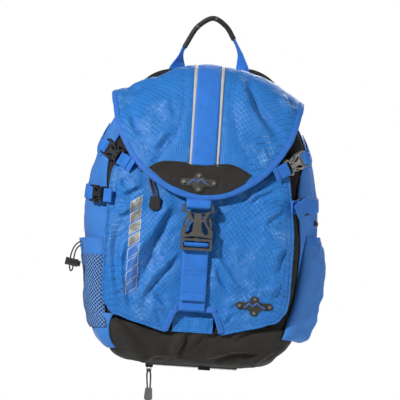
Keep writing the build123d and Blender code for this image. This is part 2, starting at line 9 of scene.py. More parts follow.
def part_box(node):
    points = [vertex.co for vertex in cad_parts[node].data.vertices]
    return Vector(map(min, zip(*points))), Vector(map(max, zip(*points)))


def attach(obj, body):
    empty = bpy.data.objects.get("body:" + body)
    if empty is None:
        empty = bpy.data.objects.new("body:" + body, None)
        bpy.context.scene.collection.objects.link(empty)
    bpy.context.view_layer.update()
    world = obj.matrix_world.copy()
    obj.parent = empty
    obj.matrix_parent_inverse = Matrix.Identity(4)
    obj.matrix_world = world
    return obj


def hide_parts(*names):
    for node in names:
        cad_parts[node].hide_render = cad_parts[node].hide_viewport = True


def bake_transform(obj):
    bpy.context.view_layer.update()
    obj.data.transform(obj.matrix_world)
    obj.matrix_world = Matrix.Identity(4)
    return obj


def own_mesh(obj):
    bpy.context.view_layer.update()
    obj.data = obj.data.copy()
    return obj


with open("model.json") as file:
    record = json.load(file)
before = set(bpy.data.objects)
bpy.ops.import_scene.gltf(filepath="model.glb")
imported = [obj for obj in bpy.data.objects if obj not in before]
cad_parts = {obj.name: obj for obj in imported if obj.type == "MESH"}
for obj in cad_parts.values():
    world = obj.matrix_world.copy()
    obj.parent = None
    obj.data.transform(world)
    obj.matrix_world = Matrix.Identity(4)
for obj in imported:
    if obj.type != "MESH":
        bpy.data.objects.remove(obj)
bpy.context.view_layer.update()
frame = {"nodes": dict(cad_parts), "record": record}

# ---------------------------------------------------------------- anchors read from the frame
BACK = 60.0                                             # rear wall's outer face in body millimetres
HOOK_Y = BACK - 1000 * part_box("rear_wall")[1][1]        # body Y of the hook's plane
JOINTS = {j["name"]: j for j in frame["record"]["behaviour"]["joints"]}
SIDES = (("right", 1), ("left", -1))
FORWARD, REARWARD = (0, -1.0, 0), (0, 1.0, 0)


def metres(place):
    """Body millimetres to the row frame."""
    p = np.asarray(place, float).copy()
    p[..., 1] -= HOOK_Y
    return p / 1000


def corner(node, end):
    """A CAD node's lowest (0) or highest (1) corner in body millimetres."""
    p = np.array(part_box(node)[end]) * 1000
    p[1] += HOOK_Y
    return p


def centre(node):
    """The middle of a CAD node's box in body millimetres."""
    return (corner(node, 0) + corner(node, 1)) / 2


# ---------------------------------------------------------------- camera, light and stage
VIEW_WIDTH = 0.580                                      # metres across the picture, at the pack
LENS, SENSOR = 900, 36                                  # long, so that the view is nearly parallel
ROLL = -3.7                                             # degrees; the pack hangs a little askew
PACK_MIDDLE = Vector((0, 0, -0.3))


def look():
    camera = bpy.data.objects.new("camera", bpy.data.cameras.new("camera"))
    bpy.context.collection.objects.link(camera)
    camera.data.lens = LENS
    camera.data.sensor_width = SENSOR
    camera.data.clip_end = 50
    camera.location = Vector((-0.0026, -0.145 - VIEW_WIDTH * LENS / SENSOR, -0.2632))
    camera.rotation_euler = (Matrix.Rotation(radians(ROLL), 4, "Y")
                             @ Matrix.Rotation(radians(90), 4, "X")).to_euler()
    bpy.context.scene.camera = camera


def lamp(name, place, power, size):
    """A square lamp that is aimed at the pack's middle."""
    data = bpy.data.lights.new(name, "AREA")
    data.energy, data.size = power, size
    obj = bpy.data.objects.new(name, data)
    bpy.context.collection.objects.link(obj)
    obj.location = place
    obj.rotation_euler = (PACK_MIDDLE - Vector(place)).to_track_quat("-Z", "Y").to_euler()
    return obj


def stage():
    lamps = [lamp("key", (-1.9, -2.2, 1.1), 103, 0.16), lamp("fill", (2.4, -0.7, -0.1), 26, 1.2),
             lamp("top", (0.1, -0.4, 1.5), 3, 0.8), lamp("rear", (0.4, 2.2, 0.6), 30, 1.2)]
    world = bpy.data.worlds.new("studio")
    bpy.context.scene.world = world
    world.use_nodes = True
    background = world.node_tree.nodes["Background"]
    background.inputs["Color"].default_value = (1, 1, 1, 1)
    seen = world.node_tree.nodes.new("ShaderNodeLightPath")
    strength = world.node_tree.nodes.new("ShaderNodeMapRange")
    strength.inputs["To Min"].default_value = 0.10
    strength.inputs["To Max"].default_value = 1.0
    world.node_tree.links.new(seen.outputs["Is Camera Ray"], strength.inputs["Value"])
    world.node_tree.links.new(strength.outputs[0], background.inputs["Strength"])
    floor = bpy.data.meshes.new("floor")
    reach, low = 1.3, -1.05
    floor.from_pydata([(-reach, -reach, low), (reach, -reach, low), (reach, reach, low),
                       (-reach, reach, low)], [], [(0, 1, 2, 3)])
    floor = bpy.data.objects.new("floor", floor)
    bpy.context.collection.objects.link(floor)
    pale = bpy.data.materials.new("pale")
    pale.use_nodes = True
    shader = pale.node_tree.nodes["Principled BSDF"]
    shader.inputs["Base Color"].default_value = (0.9, 0.9, 0.9, 1)
    shader.inputs["Roughness"].default_value = 0.8
    floor.data.materials.append(pale)
    bpy.context.scene.view_settings.view_transform = "Standard"


look()
stage()


# ---------------------------------------------------------------- materials
class Nodes:
    """A material's node tree, built by name."""

    def __init__(self, name, colour, roughness, metallic=0.0, sheen=0.0, specular=0.5):
        self.material = bpy.data.materials.new(name)
        self.material.use_nodes = True
        self.tree = self.material.node_tree
        self.shader = self.tree.nodes["Principled BSDF"]
        values = {"Base Color": (*colour, 1), "Roughness": roughness, "Metallic": metallic,
                  "Sheen Weight": sheen, "Specular IOR Level": specular}
        for key, value in values.items():
            self.shader.inputs[key].default_value = value
        if sheen:
            self.shader.inputs["Sheen Roughness"].default_value = 0.45
        self.colour = colour

    def node(self, kind, inputs=(), **settings):
        made = self.tree.nodes.new(kind)
        for key, value in settings.items():
            setattr(made, key, value)
        for key, value in dict(inputs).items():
            if hasattr(value, "is_output"):
                self.tree.links.new(value, made.inputs[key])
            else:
                made.inputs[key].default_value = value
        return made

    def math(self, operation, a, b=0.0):
        return self.node("ShaderNodeMath", {0: a, 1: b}, operation=operation).outputs[0]

    def place(self, uv, scale=(1, 1, 1), turn=0.0):
        """UV in metres on the scene's own meshes, object coordinates on CAD pieces."""
        coordinate = self.node("ShaderNodeTexCoord").outputs["UV" if uv else "Object"]
        return self.node("ShaderNodeMapping", {"Vector": coordinate, "Scale": scale,
                                               "Rotation": (0, 0, turn)}).outputs[0]

    def noise(self, vector, scale, detail=3.0, roughness=0.5):
        return self.node("ShaderNodeTexNoise", {"Vector": vector, "Scale": scale,
                                                "Detail": detail, "Roughness": roughness}).outputs[0]

    def ramp(self, value, low, high, dark=0.0, bright=1.0):
        return self.node("ShaderNodeMapRange", {"Value": value, "From Min": low, "From Max": high,
                                                "To Min": dark, "To Max": bright}).outputs[0]

    def grid_lines(self, vector, period, width):
        """1 on the lines of a square grid, 0 between them."""
        parts = self.node("ShaderNodeSeparateXYZ", {0: vector})
        lines = []
        for axis in ("X", "Y"):
            phase = self.math("FRACT", self.math("DIVIDE", parts.outputs[axis], period))
            away = self.math("ABSOLUTE", self.math("SUBTRACT", phase, 0.5))
            lines.append(self.ramp(away, 0.5 - width, 0.5 - width * 0.4))
        return self.math("MAXIMUM", *lines)

    def ribs(self, vector, axis, period):
        """A rounded rib that repeats along one axis, from 0 to 1."""
        part = self.node("ShaderNodeSeparateXYZ", {0: vector}).outputs[axis]
        wave = self.math("SINE", self.math("MULTIPLY", part, 2 * pi / period))
        return self.math("MULTIPLY_ADD", wave, 0.5)

    def paint(self, factor, colour):
        """Mixes the base colour so far with another by factor."""
        mix = self.node("ShaderNodeMix", {"Factor": factor}, data_type="RGBA")
        before, after = [socket for socket in mix.inputs if socket.type == "RGBA"]
        base = self.shader.inputs["Base Color"]
        if base.links:
            self.tree.links.new(base.links[0].from_socket, before)
        else:
            before.default_value = (*self.colour, 1)
        after.default_value = (*colour, 1)
        result = [socket for socket in mix.outputs if socket.type == "RGBA"][0]
        self.tree.links.new(result, base)

    def bump(self, height, distance, strength=1.0):
        normal = self.shader.inputs["Normal"]
        inputs = {"Height": height, "Distance": distance, "Strength": strength}
        if normal.links:
            inputs["Normal"] = normal.links[0].from_socket
        made = self.node("ShaderNodeBump", inputs)
        self.tree.links.new(made.outputs[0], normal)

    def vary_roughness(self, factor, low, high):
        self.tree.links.new(self.ramp(factor, 0.3, 0.7, low, high), self.shader.inputs["Roughness"])


def tone(colour, gain):
    """A colour made darker or brighter."""
    return tuple(min(1.0, c * gain) for c in colour)


def ripstop(name, colour, period, line, turn):
    m = Nodes(name, colour, 0.46, specular=0.22)
    flat = m.place(True)
    turned = m.place(True, turn=turn)
    cloud = m.noise(flat, 16, 4)
    patch = m.noise(flat, 60, 3)
    lines = m.grid_lines(turned, period, line)
    m.paint(m.ramp(cloud, 0.35, 0.7, 0.0, 0.35), tone(colour, 0.72))
    m.paint(m.math("MULTIPLY", lines, m.ramp(patch, 0.35, 0.6, 0.85, 0.45)), tone(colour, 0.32))
    # painted glints: the grid lines are painted pale in patches, as highlight where sheen catches them
    painted_glint = m.math("MULTIPLY", m.ramp(cloud, 0.5, 0.62), m.ramp(patch, 0.42, 0.6))
    m.paint(m.math("MULTIPLY", lines, m.math("MULTIPLY", painted_glint, 0.8)), (0.36, 0.56, 0.85))
    fine = m.math("MULTIPLY", m.ribs(turned, "X", 0.0007), m.ribs(turned, "Y", 0.0007))
    m.bump(fine, 0.00012, 0.5)
    m.bump(lines, 0.0004, 0.7)
    m.bump(m.noise(flat, 110, 4, 0.6), 0.0016, 0.6)
    m.vary_roughness(patch, 0.38, 0.54)
    return m.material


def cloth(name, colour, roughness=0.75, sheen=0.25, grain=0.0009, crease=0.0009, uv=True):
    m = Nodes(name, colour, roughness, sheen=sheen, specular=0.3)
    flat = m.place(uv)
    weave = m.math("MULTIPLY", m.ribs(flat, "X", grain), m.ribs(flat, "Y", grain))
    cloud = m.noise(flat, 40, 4)
    m.paint(m.ramp(cloud, 0.35, 0.7, 0.0, 0.45), tone(colour, 0.7))
    m.paint(m.math("MULTIPLY", weave, 0.35), tone(colour, 1.35))
    m.bump(weave, 0.00018, 0.6)
    m.bump(m.noise(flat, 90, 4, 0.6), crease, 0.6)
    m.vary_roughness(cloud, roughness - 0.07, roughness + 0.07)
    return m.material


def webbing(name, colour, across="X"):
    """Woven tape: fine ribs across its run, over a slanted twill."""
    m = Nodes(name, colour, 0.6, sheen=0.12, specular=0.3)
    flat = m.place(True)
    along = "Y" if across == "X" else "X"
    rib = m.ribs(flat, along, 0.0016)
    twill = m.ribs(m.place(True, turn=radians(35)), "X", 0.0021)
    weave = m.math("MULTIPLY", rib, twill)
    m.paint(m.ramp(weave, 0.1, 0.7, 0.0, 0.8), tone(colour, 1.4))
    m.paint(m.ramp(m.noise(flat, 60, 3), 0.4, 0.7, 0.0, 0.35), tone(colour, 0.7))
    m.bump(weave, 0.0003, 0.9)
    m.vary_roughness(m.noise(flat, 120, 3), 0.52, 0.66)
    return m.material


def net(name, colour):
    """Knitted mesh: slanted threads, with gaps between them that one can half see through; the gaps are
    painted dark navy as the shade inside the pocket.
    """
    m = Nodes(name, colour, 0.6, specular=0.3)
    flat = m.place(True, turn=radians(52))
    lines = m.grid_lines(flat, 0.0042, 0.17)
    gaps = m.math("SUBTRACT", 1.0, lines)
    m.tree.links.new(m.ramp(lines, 0.1, 0.4, 0.8, 1.0), m.shader.inputs["Alpha"])
    # the threads are painted light blue: their own colour, brightened with painted highlight
    m.paint(m.ramp(lines, 0.3, 0.9, 0.0, 0.9), (0.24, 0.46, 0.86))
    # painted shade: the gaps are painted dark navy for the shaded inside of the pocket behind the mesh
    m.paint(m.math("MULTIPLY", gaps, 0.92), (0.006, 0.035, 0.16))
    m.bump(lines, 0.0009)
    return m.material


def moulded(name, colour, roughness=0.42, specular=0.5, fine=900, depth=0.00006):
    m = Nodes(name, colour, roughness, specular=specular)
    flat = m.place(False)
    grain = m.noise(flat, fine, 3)
    m.paint(m.ramp(m.noise(flat, 60, 4), 0.35, 0.7, 0.0, 0.5), tone(colour, 0.65))
    m.bump(grain, depth, 0.6)
    m.vary_roughness(m.noise(flat, 120, 4), roughness - 0.08, roughness + 0.1)
    return m.material


def metal(name, colour, roughness, brushed=False):
    m = Nodes(name, colour, roughness, metallic=0.9, specular=0.5)
    flat = m.place(False, scale=(1, 1, 14) if brushed else (1, 1, 1))
    m.paint(m.ramp(m.noise(flat, 160, 4), 0.4, 0.7, 0.0, 0.6), tone(colour, 0.6))
    m.bump(m.noise(flat, 700, 3), 0.00005, 0.5)
    m.vary_roughness(m.noise(flat, 200, 4), roughness - 0.1, roughness + 0.12)
    return m.material


def spacer(name, colour):
    """Spacer mesh over foam: a lattice of small dimples, with shade painted into their hollows."""
    m = Nodes(name, colour, 0.85, sheen=0.35, specular=0.25)
    flat = m.place(True, turn=radians(30))
    cells = m.node("ShaderNodeTexVoronoi", {"Vector": flat, "Scale": 420.0,
                                            "Randomness": 0.25}).outputs["Distance"]
    # painted shade: each dimple's hollow is painted darker
    m.paint(m.ramp(cells, 0.1, 0.45, 0.8, 0.0), tone(colour, 0.35))
    m.bump(cells, 0.0008, 0.8)
    m.vary_roughness(m.noise(flat, 90, 3), 0.78, 0.92)
    return m.material


BLUE = (0.028, 0.205, 0.62)
MAT = {
    "ripstop": ripstop("ripstop", BLUE, 0.0058, 0.082, radians(42)),
    "ripfine": ripstop("ripfine", tone(BLUE, 1.06), 0.0034, 0.10, radians(8)),
    "plain_blue": cloth("plain_blue", (0.04, 0.20, 0.60), 0.62, 0.15),
    "blue_webbing": webbing("blue_webbing", (0.022, 0.168, 0.60)),
    "blue_tape": webbing("blue_tape", (0.026, 0.155, 0.55), "Y"),
    "black_fabric": cloth("black_fabric", (0.022, 0.020, 0.018), 0.8, 0.12, 0.0013, 0.0014),
    "black_webbing": webbing("black_webbing", (0.02, 0.02, 0.02)),
    "mesh": net("mesh", (0.05, 0.17, 0.5)),
    "padding": spacer("padding", (0.035, 0.035, 0.038)),
    "piping": cloth("piping", (0.52, 0.51, 0.49), 0.35, 0.1, 0.0006, 0.0002),
    "cord": cloth("cord", (0.055, 0.055, 0.065), 0.7, 0.3, 0.0008, 0.0002, uv=False),
    "graphite_plastic": moulded("graphite_plastic", (0.10, 0.096, 0.088), 0.30),
    "black_plastic": moulded("black_plastic", (0.024, 0.024, 0.026), 0.42),
    "frame_plastic": moulded("frame_plastic", (0.05, 0.05, 0.05), 0.55),
    "badge_plate": metal("badge_plate", (0.13, 0.125, 0.115), 0.42),
    "rivet": metal("rivet", (0.62, 0.61, 0.58), 0.28, True),
    "black_rubber": moulded("black_rubber", (0.022, 0.022, 0.022), 0.6, 0.35, 500, 0.0001),
    "grey_rubber": moulded("grey_rubber", (0.13, 0.13, 0.13), 0.6, 0.35, 500, 0.0001),
    "thread": cloth("thread", (0.03, 0.13, 0.42), 0.6, 0.2, 0.0006, 0.0001, uv=False),
    "thread_black": cloth("thread_black", (0.05, 0.05, 0.05), 0.7, 0.2, 0.0006, 0.0001, uv=False),
    "silver_print": moulded("silver_print", (0.17, 0.17, 0.16), 0.45, 0.5),
    "white_print": moulded("white_print", (0.56, 0.58, 0.60), 0.5),
    "blue_print": moulded("blue_print", (0.04, 0.16, 0.5), 0.45),
}


# ---------------------------------------------------------------- numbers
def curve(ts, values):
    """A smooth function through the given values."""
    ts, values = np.array(ts, float), np.array(values, float)
    secants = np.diff(values) / np.diff(ts)
    slopes = np.gradient(values, ts)
    before, after = secants[:-1], secants[1:]
    limit = np.where(before * after > 0, 3 * np.minimum(np.abs(before), np.abs(after)), 0)
    slopes[1:-1] = np.clip(slopes[1:-1], -limit, limit)
    slopes[[0, -1]] = secants[[0, -1]]

    def at(t):
        t = np.clip(np.asarray(t, float), ts[0], ts[-1])
        i = np.clip(np.searchsorted(ts, t) - 1, 0, len(ts) - 2)
        h = ts[i + 1] - ts[i]
        s = (t - ts[i]) / h
        return ((2 * s**3 - 3 * s**2 + 1) * values[i] + (s**3 - 2 * s**2 + s) * h * slopes[i]
                + (3 * s**2 - 2 * s**3) * values[i + 1] + (s**3 - s**2) * h * slopes[i + 1])
    return at


def step(x, low, high):
    """0 below low, 1 above high, and smooth between them."""
    t = np.clip((x - low) / (high - low), 0, 1)
    return t * t * (3 - 2 * t)


def waves(x, z, size, seed):
    """Soft noise from -1 to 1 with bumps about size across."""
    rng = np.random.default_rng(seed)
    total = np.zeros(np.broadcast(x, z).shape)
    for _ in range(7):
        angle, phase, stretch = rng.uniform(0, pi), rng.uniform(0, 2 * pi), rng.uniform(0.6, 1.6)
        total += np.sin(2 * pi * (x * cos(angle) + z * sin(angle)) / (2 * size * stretch) + phase)
    return total / 4


def crumple(x, z, size, seed):
    """Creased noise: sharp ridges between soft hollows."""
    total = 0
    for octave in range(3):
        bend = size * 0.35 * waves(x, z, size * 1.4, seed + 40 + octave)
        total = total + (0.5 - np.abs(waves(x + bend, z + bend, size / 1.7**octave, seed + octave))
                         ) * 0.55**octave
    return total


def folds(x, z, strokes):
    """Ridges along bent strokes (x0, z0, x1, z1, width, depth), steep on their lower right."""
    total = 0
    for x0, z0, x1, z1, width, depth in strokes:
        dx, dz = x1 - x0, z1 - z0
        length = (dx * dx + dz * dz) ** 0.5
        t = ((x - x0) * dx + (z - z0) * dz) / length**2
        off = ((x - x0) * dz - (z - z0) * dx) / length * (1 if dz + 0.45 * dx > 0 else -1)
        off = off + 0.06 * length * np.sin(pi * t) + 0.8 * np.sin(t * 9 + x0)
        fade = step(t, -0.1, 0.25) * (1 - step(t, 0.6, 1.1))
        side = np.where(off > 0, width, 2.6 * width)
        total = total + fade * depth * (np.exp(-(off / side) ** 2)
                                        - 0.45 * np.exp(-((off - 1.9 * width) / width) ** 2))
    return total


def points(*coordinates):
    """Coordinates whose shapes fit each other, as one array of points."""
    return np.stack(np.broadcast_arrays(*coordinates), axis=-1)


def arc(path):
    """Distance along a row of points."""
    steps = np.linalg.norm(np.diff(path, axis=0), axis=1)
    return np.concatenate([[0], np.cumsum(steps)])


def normals(grid):
    du = np.gradient(grid, axis=1)
    dv = np.gradient(grid, axis=0)
    n = np.cross(du, dv)
    return n / np.maximum(np.linalg.norm(n, axis=2, keepdims=True), 1e-9)


def outward(grid, away):
    """Unit normals of a grid, turned so that they point away from a point."""
    n = normals(grid)
    return n if np.sum(n * (grid - np.array(away))) > 0 else -n


# ---------------------------------------------------------------- meshes
def own(obj, body="pack", replaces=()):
    """The CAD nodes that the piece stands for, and the body it rides on."""
    if replaces:
        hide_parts(*replaces)
    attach(obj, body)
    return obj


def finish_mesh(name, vertices, faces, material, uv=None):
    data = bpy.data.meshes.new(name)
    data.from_pydata([tuple(v) for v in vertices], [], faces)
    data.materials.append(MAT[material])
    if uv is not None:
        layer = data.uv_layers.new(name="UV")
        order = np.array([i for face in faces for i in face])
        layer.data.foreach_set("uv", np.asarray(uv, np.float32)[order].ravel())
    data.polygons.foreach_set("use_smooth", [True] * len(data.polygons))
    data.update()
    obj = bpy.data.objects.new(name, data)
    bpy.context.collection.objects.link(obj)
    return obj


def grid_faces(rows, columns, closed=False, flip=False):
    faces = []
    for j in range(rows - 1):
        for i in range(columns if closed else columns - 1):
            k = (i + 1) % columns
            face = (j * columns + i, j * columns + k, (j + 1) * columns + k, (j + 1) * columns + i)
            faces.append(face[::-1] if flip else face)
    return faces


def sheet(name, grid, away, thickness, material, body="pack", replaces=(), closed=False,
          even=False):
    """A cloth whose outer face is the grid, facing away from a point, with its thickness behind it.

    even keeps the weave upright where the rows differ in length."""
    rows, columns, _ = grid.shape
    n = normals(grid)
    flip = np.sum(n * (grid - np.array(away))) < 0
    across = np.stack([arc(grid[rows // 3] if even else row) for row in grid])
    along = np.stack([arc(grid[:, i]) for i in range(columns)], axis=1)
    across -= across[:, columns // 2:columns // 2 + 1]
    uv = points(across, along).reshape(-1, 2) / 1000
    obj = finish_mesh(name, metres(grid).reshape(-1, 3), grid_faces(rows, columns, closed, flip),
                      material, uv)
    if thickness:
        solid = obj.modifiers.new("thickness", "SOLIDIFY")
        solid.thickness = thickness / 1000
        solid.offset = -1
        solid.use_rim = True
    return own(obj, body, replaces)


def sweep(name, path, ups, section, material, stretch=(1, 1)):
    """A tape or bead: a section (sideways, up) carried along a path.

    ups is the section's up direction, and stretch its growth sideways and up. Each is one value for
    the whole path or one for each of its points."""
    path = np.asarray(path, float)
    tangents = np.gradient(path, axis=0)
    tangents /= np.linalg.norm(tangents, axis=1, keepdims=True)
    side = np.cross(ups, tangents)
    side /= np.linalg.norm(side, axis=1, keepdims=True)
    ups = np.cross(tangents, side)
    section = np.asarray(section, float)
    wide, thick = [np.reshape(value, (-1, 1, 1)) for value in stretch]
    rings = (path[:, None] + section[None, :, :1] * side[:, None] * wide
             + section[None, :, 1:] * ups[:, None] * thick)
    count, around = len(path), len(section)
    faces = grid_faces(count, around, closed=True)
    faces.append(tuple(range(around))[::-1])
    faces.append(tuple((count - 1) * around + i for i in range(around)))
    edge = arc(section)
    run = arc(path)
    uv = points(edge[None], run[:, None])
    return finish_mesh(name, metres(rings.reshape(-1, 3)), faces, material, uv.reshape(-1, 2) / 1000)


def flat_section(width, thickness, crown=0.3):
    """A tape's section: flat, with rounded edges and a slight crown."""
    half, deep = width / 2, thickness / 2
    xs = np.linspace(-1, 1, 13)
    top = [(half * x, deep + crown * (1 - x * x) * (1 if abs(x) < 0.99 else 0)) for x in xs]
    low = [(half * x, -deep) for x in xs[::-1]]
    return [(-half - deep * 0.5, 0), *top, (half + deep * 0.5, 0), *low]


def round_section(radius, count):
    turns = np.arange(count) * 2 * pi / count
    return radius * points(np.cos(turns), np.sin(turns))


def smooth_path(corners, count):
    """A smooth path through a few points, cut into evenly spaced ones."""
    corners = np.asarray(corners, float)
    run = arc(corners)
    t = np.linspace(0, run[-1], count)
    return points(*[curve(run, corners[:, k])(t) for k in range(3)])


def stitches(name, path, ups, body="pack", material="thread", pitch=3.2,
             length=2.2, radius=0.32, lift=0.15):
    """A row of thread dashes along a path, with one up direction or one for each of its points."""
    path = np.asarray(path, float)
    ups = np.broadcast_to(np.asarray(ups, float), path.shape)
    run = arc(path)
    vertices, faces = [], []
    for start in np.arange(0.6, run[-1] - length, pitch):
        ends = [np.array([np.interp(t, run, path[:, k]) for k in range(3)])
                for t in (start, start + length / 2, start + length)]
        up = np.array([np.interp(start, run, ups[:, k]) for k in range(3)])
        up /= np.linalg.norm(up)
        way = ends[2] - ends[0]
        way /= max(np.linalg.norm(way), 1e-6)
        side = np.cross(way, up)
        base = len(vertices)
        for place, rise, wide in zip(ends, (-0.1, lift, -0.1), (0.5, 1, 0.5)):
            for a in range(6):
                turn = a * pi / 3
                vertices.append(place + side * radius * wide * cos(turn)
                                + up * (rise + radius * wide * sin(turn)))
        for j in range(2):
            for a in range(6):
                b = (a + 1) % 6
                faces.append((base + j * 6 + a, base + j * 6 + b, base + j * 6 + 6 + b,
                              base + j * 6 + 6 + a))
        faces.append(tuple(base + a for a in range(6))[::-1])
        faces.append(tuple(base + 12 + a for a in range(6)))
    return own(finish_mesh(name, metres(vertices), faces, material), body)


def tape(name, path, ups, size, material, body="pack", replaces=()):
    """A swept tape of a width and a thickness, as a piece that rides on a body."""
    obj = sweep(name, path, ups, flat_section(*size), material)
    return own(obj, body, replaces)


# ---------------------------------------------------------------- cords
def cord_curve(name, route, diameter):
    """A cord on one NURBS line with the route's points."""
    data = bpy.data.curves.new(name, "CURVE")
    data.dimensions = "3D"
    data.bevel_depth = 1.0
    data.bevel_resolution = 4
    data.resolution_u = 16
    data.use_fill_caps = True
    spline = data.splines.new("NURBS")
    spline.points.add(len(route) - 1)
    for point, place in zip(spline.points, metres(route)):
        point.co = (*place, 1)
        point.radius = diameter / 2000
    spline.order_u = 3
    spline.use_endpoint_u = True
    data.materials.append(MAT["cord"])
    obj = bpy.data.objects.new(name, data)
    bpy.context.collection.objects.link(obj)
    return obj


def curve_length(obj):
    """The real length of a cord's centreline, in metres."""
    bevel = obj.data.bevel_depth
    obj.data.bevel_depth = 0
    mesh = obj.to_mesh()
    line = [v.co.copy() for v in mesh.vertices]
    obj.to_mesh_clear()
    obj.data.bevel_depth = bevel
    return sum((b - a).length for a, b in zip(line, line[1:]))


def pull_route(ring, end):
    """The doubled cord of a zip pull: up from its tip, through the slider's bail and back."""
    x, y, z = ring
    half = 1.9
    quarter = (x + (end[0] - x) * 0.35, y + (end[1] - y) * 0.5, z + (end[2] - z) * 0.4)
    return [(end[0] - half, end[1], end[2]), (quarter[0] - half - 1.2, *quarter[1:]),
            (x - half, y, z - 1), (x, y - 0.4, z + 2.6), (x + half, y, z - 1),
            (quarter[0] + half + 1.2, *quarter[1:]), (end[0] + half, end[1], end[2])]


def cords():
    for name, body in (("pocket", "pocket_pull"), ("base", "base_pull")):
        slider = f"{name}_slider"
        x, y, _ = centre(slider)
        z = corner(slider, 0)[2]
        ring = (x, corner(slider, 1)[1] - 2.9, z + 1.8) if name == "pocket" else (x, y, z + 2.4)
        tip = f"{name}_pull_tip"
        route = pull_route(ring, (*centre(tip)[:2], corner(tip, 1)[2]))
        obj = own(cord_curve(f"{name}_pull_loop", route, 2.4), body,
                  [f"{name}_pull_cord"])
        metres(route[0])
        curve_length(obj)
    y = -30.0
    route = [(-171, y + 2, -339), (-176.5, y, -343), (-179.6, y - 1, -352), (-181, y - 1, -366),
             (-180.9, y - 1, -373), (-182, y - 1, -377.5), (-184.4, y - 1, -377.8),
             (-185.8, y - 1, -373.5), (-186, y - 1, -366),
             (-184.8, y - 1, -352), (-178.5, y + 1, -337), (-171, y + 3, -334)]
    obj = own(cord_curve("drawcord", route, 2.2), "pack", ["pocket_drawcord"])
    metres(route[0])
    curve_length(obj)


cords()


# ---------------------------------------------------------------- body
BODY_HW = curve([60, 112, 138, 160, 205, 250, 300, 345, 400, 450, 482, 499, 507],
                [104, 104, 125, 138, 155, 166, 170, 161, 155, 148, 125, 95, 60])
BODY_YF = curve([60, 112, 150, 190, 230, 280, 400, 430, 453, 480, 501, 505],
                [-20, -24, -36, -48, -57, -61, -63, -66, -72, -66, -42, -28])


def body_ring(angle, depth):
    """A point on the main compartment's skin: an angle round it and a depth below the hook."""
    c, s = np.abs(np.cos(angle)), np.sin(angle)
    middle = 12.0
    back = BACK - np.where(depth > 485, 20 - np.sqrt(np.maximum(400 - (depth - 485) ** 2, 0)), 0)

    def wall(facing_x, facing_y, x, y):
        """How far out the angle's ray meets a flat wall through a point."""
        return (facing_x * x + facing_y * (y - middle)) / np.maximum(facing_x * c + facing_y * s, 1e-3)

    walls = (wall(1, 0, BODY_HW(depth), 0), wall(0, -1, 0, BODY_YF(depth)), wall(0, 1, 0, back),
             wall(0.811, -0.585, 150, -50), wall(0.645, 0.764, 150, 62))
    roundness = 16.0
    r = sum((1 / np.maximum(d, 1)) ** roundness for d in walls) ** (-1 / roundness)
    return points(r * np.cos(angle), middle + r * s, -depth)


def body_sheet(name, material, angles, depths, swell, crease, seed, replaces=(), lift=0.0, front=None):
    """A panel of the body. Its top may vary with the angle, and its front edge with the depth."""
    columns, rows = 70, 110
    a = np.linspace(radians(angles[0]), radians(angles[1]), columns)
    top = depths[0](a) if callable(depths[0]) else np.full(columns, float(depths[0]))
    t = np.linspace(0, 1, rows)[:, None]
    depth = top[None] * (1 - t) + depths[1] * t
    angle = a[None] + 0 * depth
    if front:
        angle = angle + (np.radians(front(depth)) - a[-1]) * np.linspace(0, 1, columns)[None]
    p = body_ring(angle, depth)
    n = outward(p, MIDDLE)
    edge = np.sin(pi * np.linspace(0, 1, columns))[None] ** 0.5 * np.sin(pi * t) ** 0.5
    run = np.cumsum(np.linalg.norm(np.diff(p, axis=1, prepend=p[:, :1]), axis=2), axis=1)
    d = edge * (swell * (0.6 + 0.4 * waves(run, depth, 70, seed))
                + crease * crumple(run, depth, 46, seed + 3)) + lift
    sheet(name, p + n * d[..., None], MIDDLE, 1.6, material, replaces=replaces)


MIDDLE = (0, 12, -280)                                  # a point inside the main compartment
EDGE_ANGLE = 17                                         # where the flanks meet the rear wall


def rim_depth(a):
    """Depth of the rear wall's upper edge, which is highest in its middle."""
    x = np.abs(body_ring(a, 112.0)[:, 0])
    return np.interp(x, [0, 35, 70, 104], [81.5, 85, 96, 112])


def body():
    right = curve([122, 160, 207, 254, 341, 445], [-4, -9, -22, -26, -22.5, -23])
    left = curve([122, 190, 330, 445], [204, 204, 209, 209])
    body_sheet("right_side", "plain_blue", (EDGE_ANGLE, -24), (122, 445), 2.0, 2.2, 5,
               ["right_side_panel"], front=right)
    body_sheet("left_side", "plain_blue", (180 - EDGE_ANGLE, 211), (122, 445), 2.0, 2.2, 9,
               ["left_side_panel"], front=left)
    body_sheet("divider", "black_fabric", (-162, -2), (122, 445), 1.0, 2.0, 13,
               ["front_divider"], lift=-2.6)
    body_sheet("rear", "black_fabric", (EDGE_ANGLE, 180 - EDGE_ANGLE), (rim_depth, 445), 0.4, 0.8,
               17, ["rear_wall"])
    base()
    collar()
    for angle in (EDGE_ANGLE, 180 - EDGE_ANGLE):
        path = body_ring(radians(angle), np.linspace(124, 470, 160))
        ups = (path - np.array([0, 12, 0])) * [1, 1, 0]
        ups /= np.linalg.norm(ups, axis=1, keepdims=True)
        tape(f"body_seam_{angle}", path + ups * 0.8, ups, (3.2, 1.6), "black_webbing")


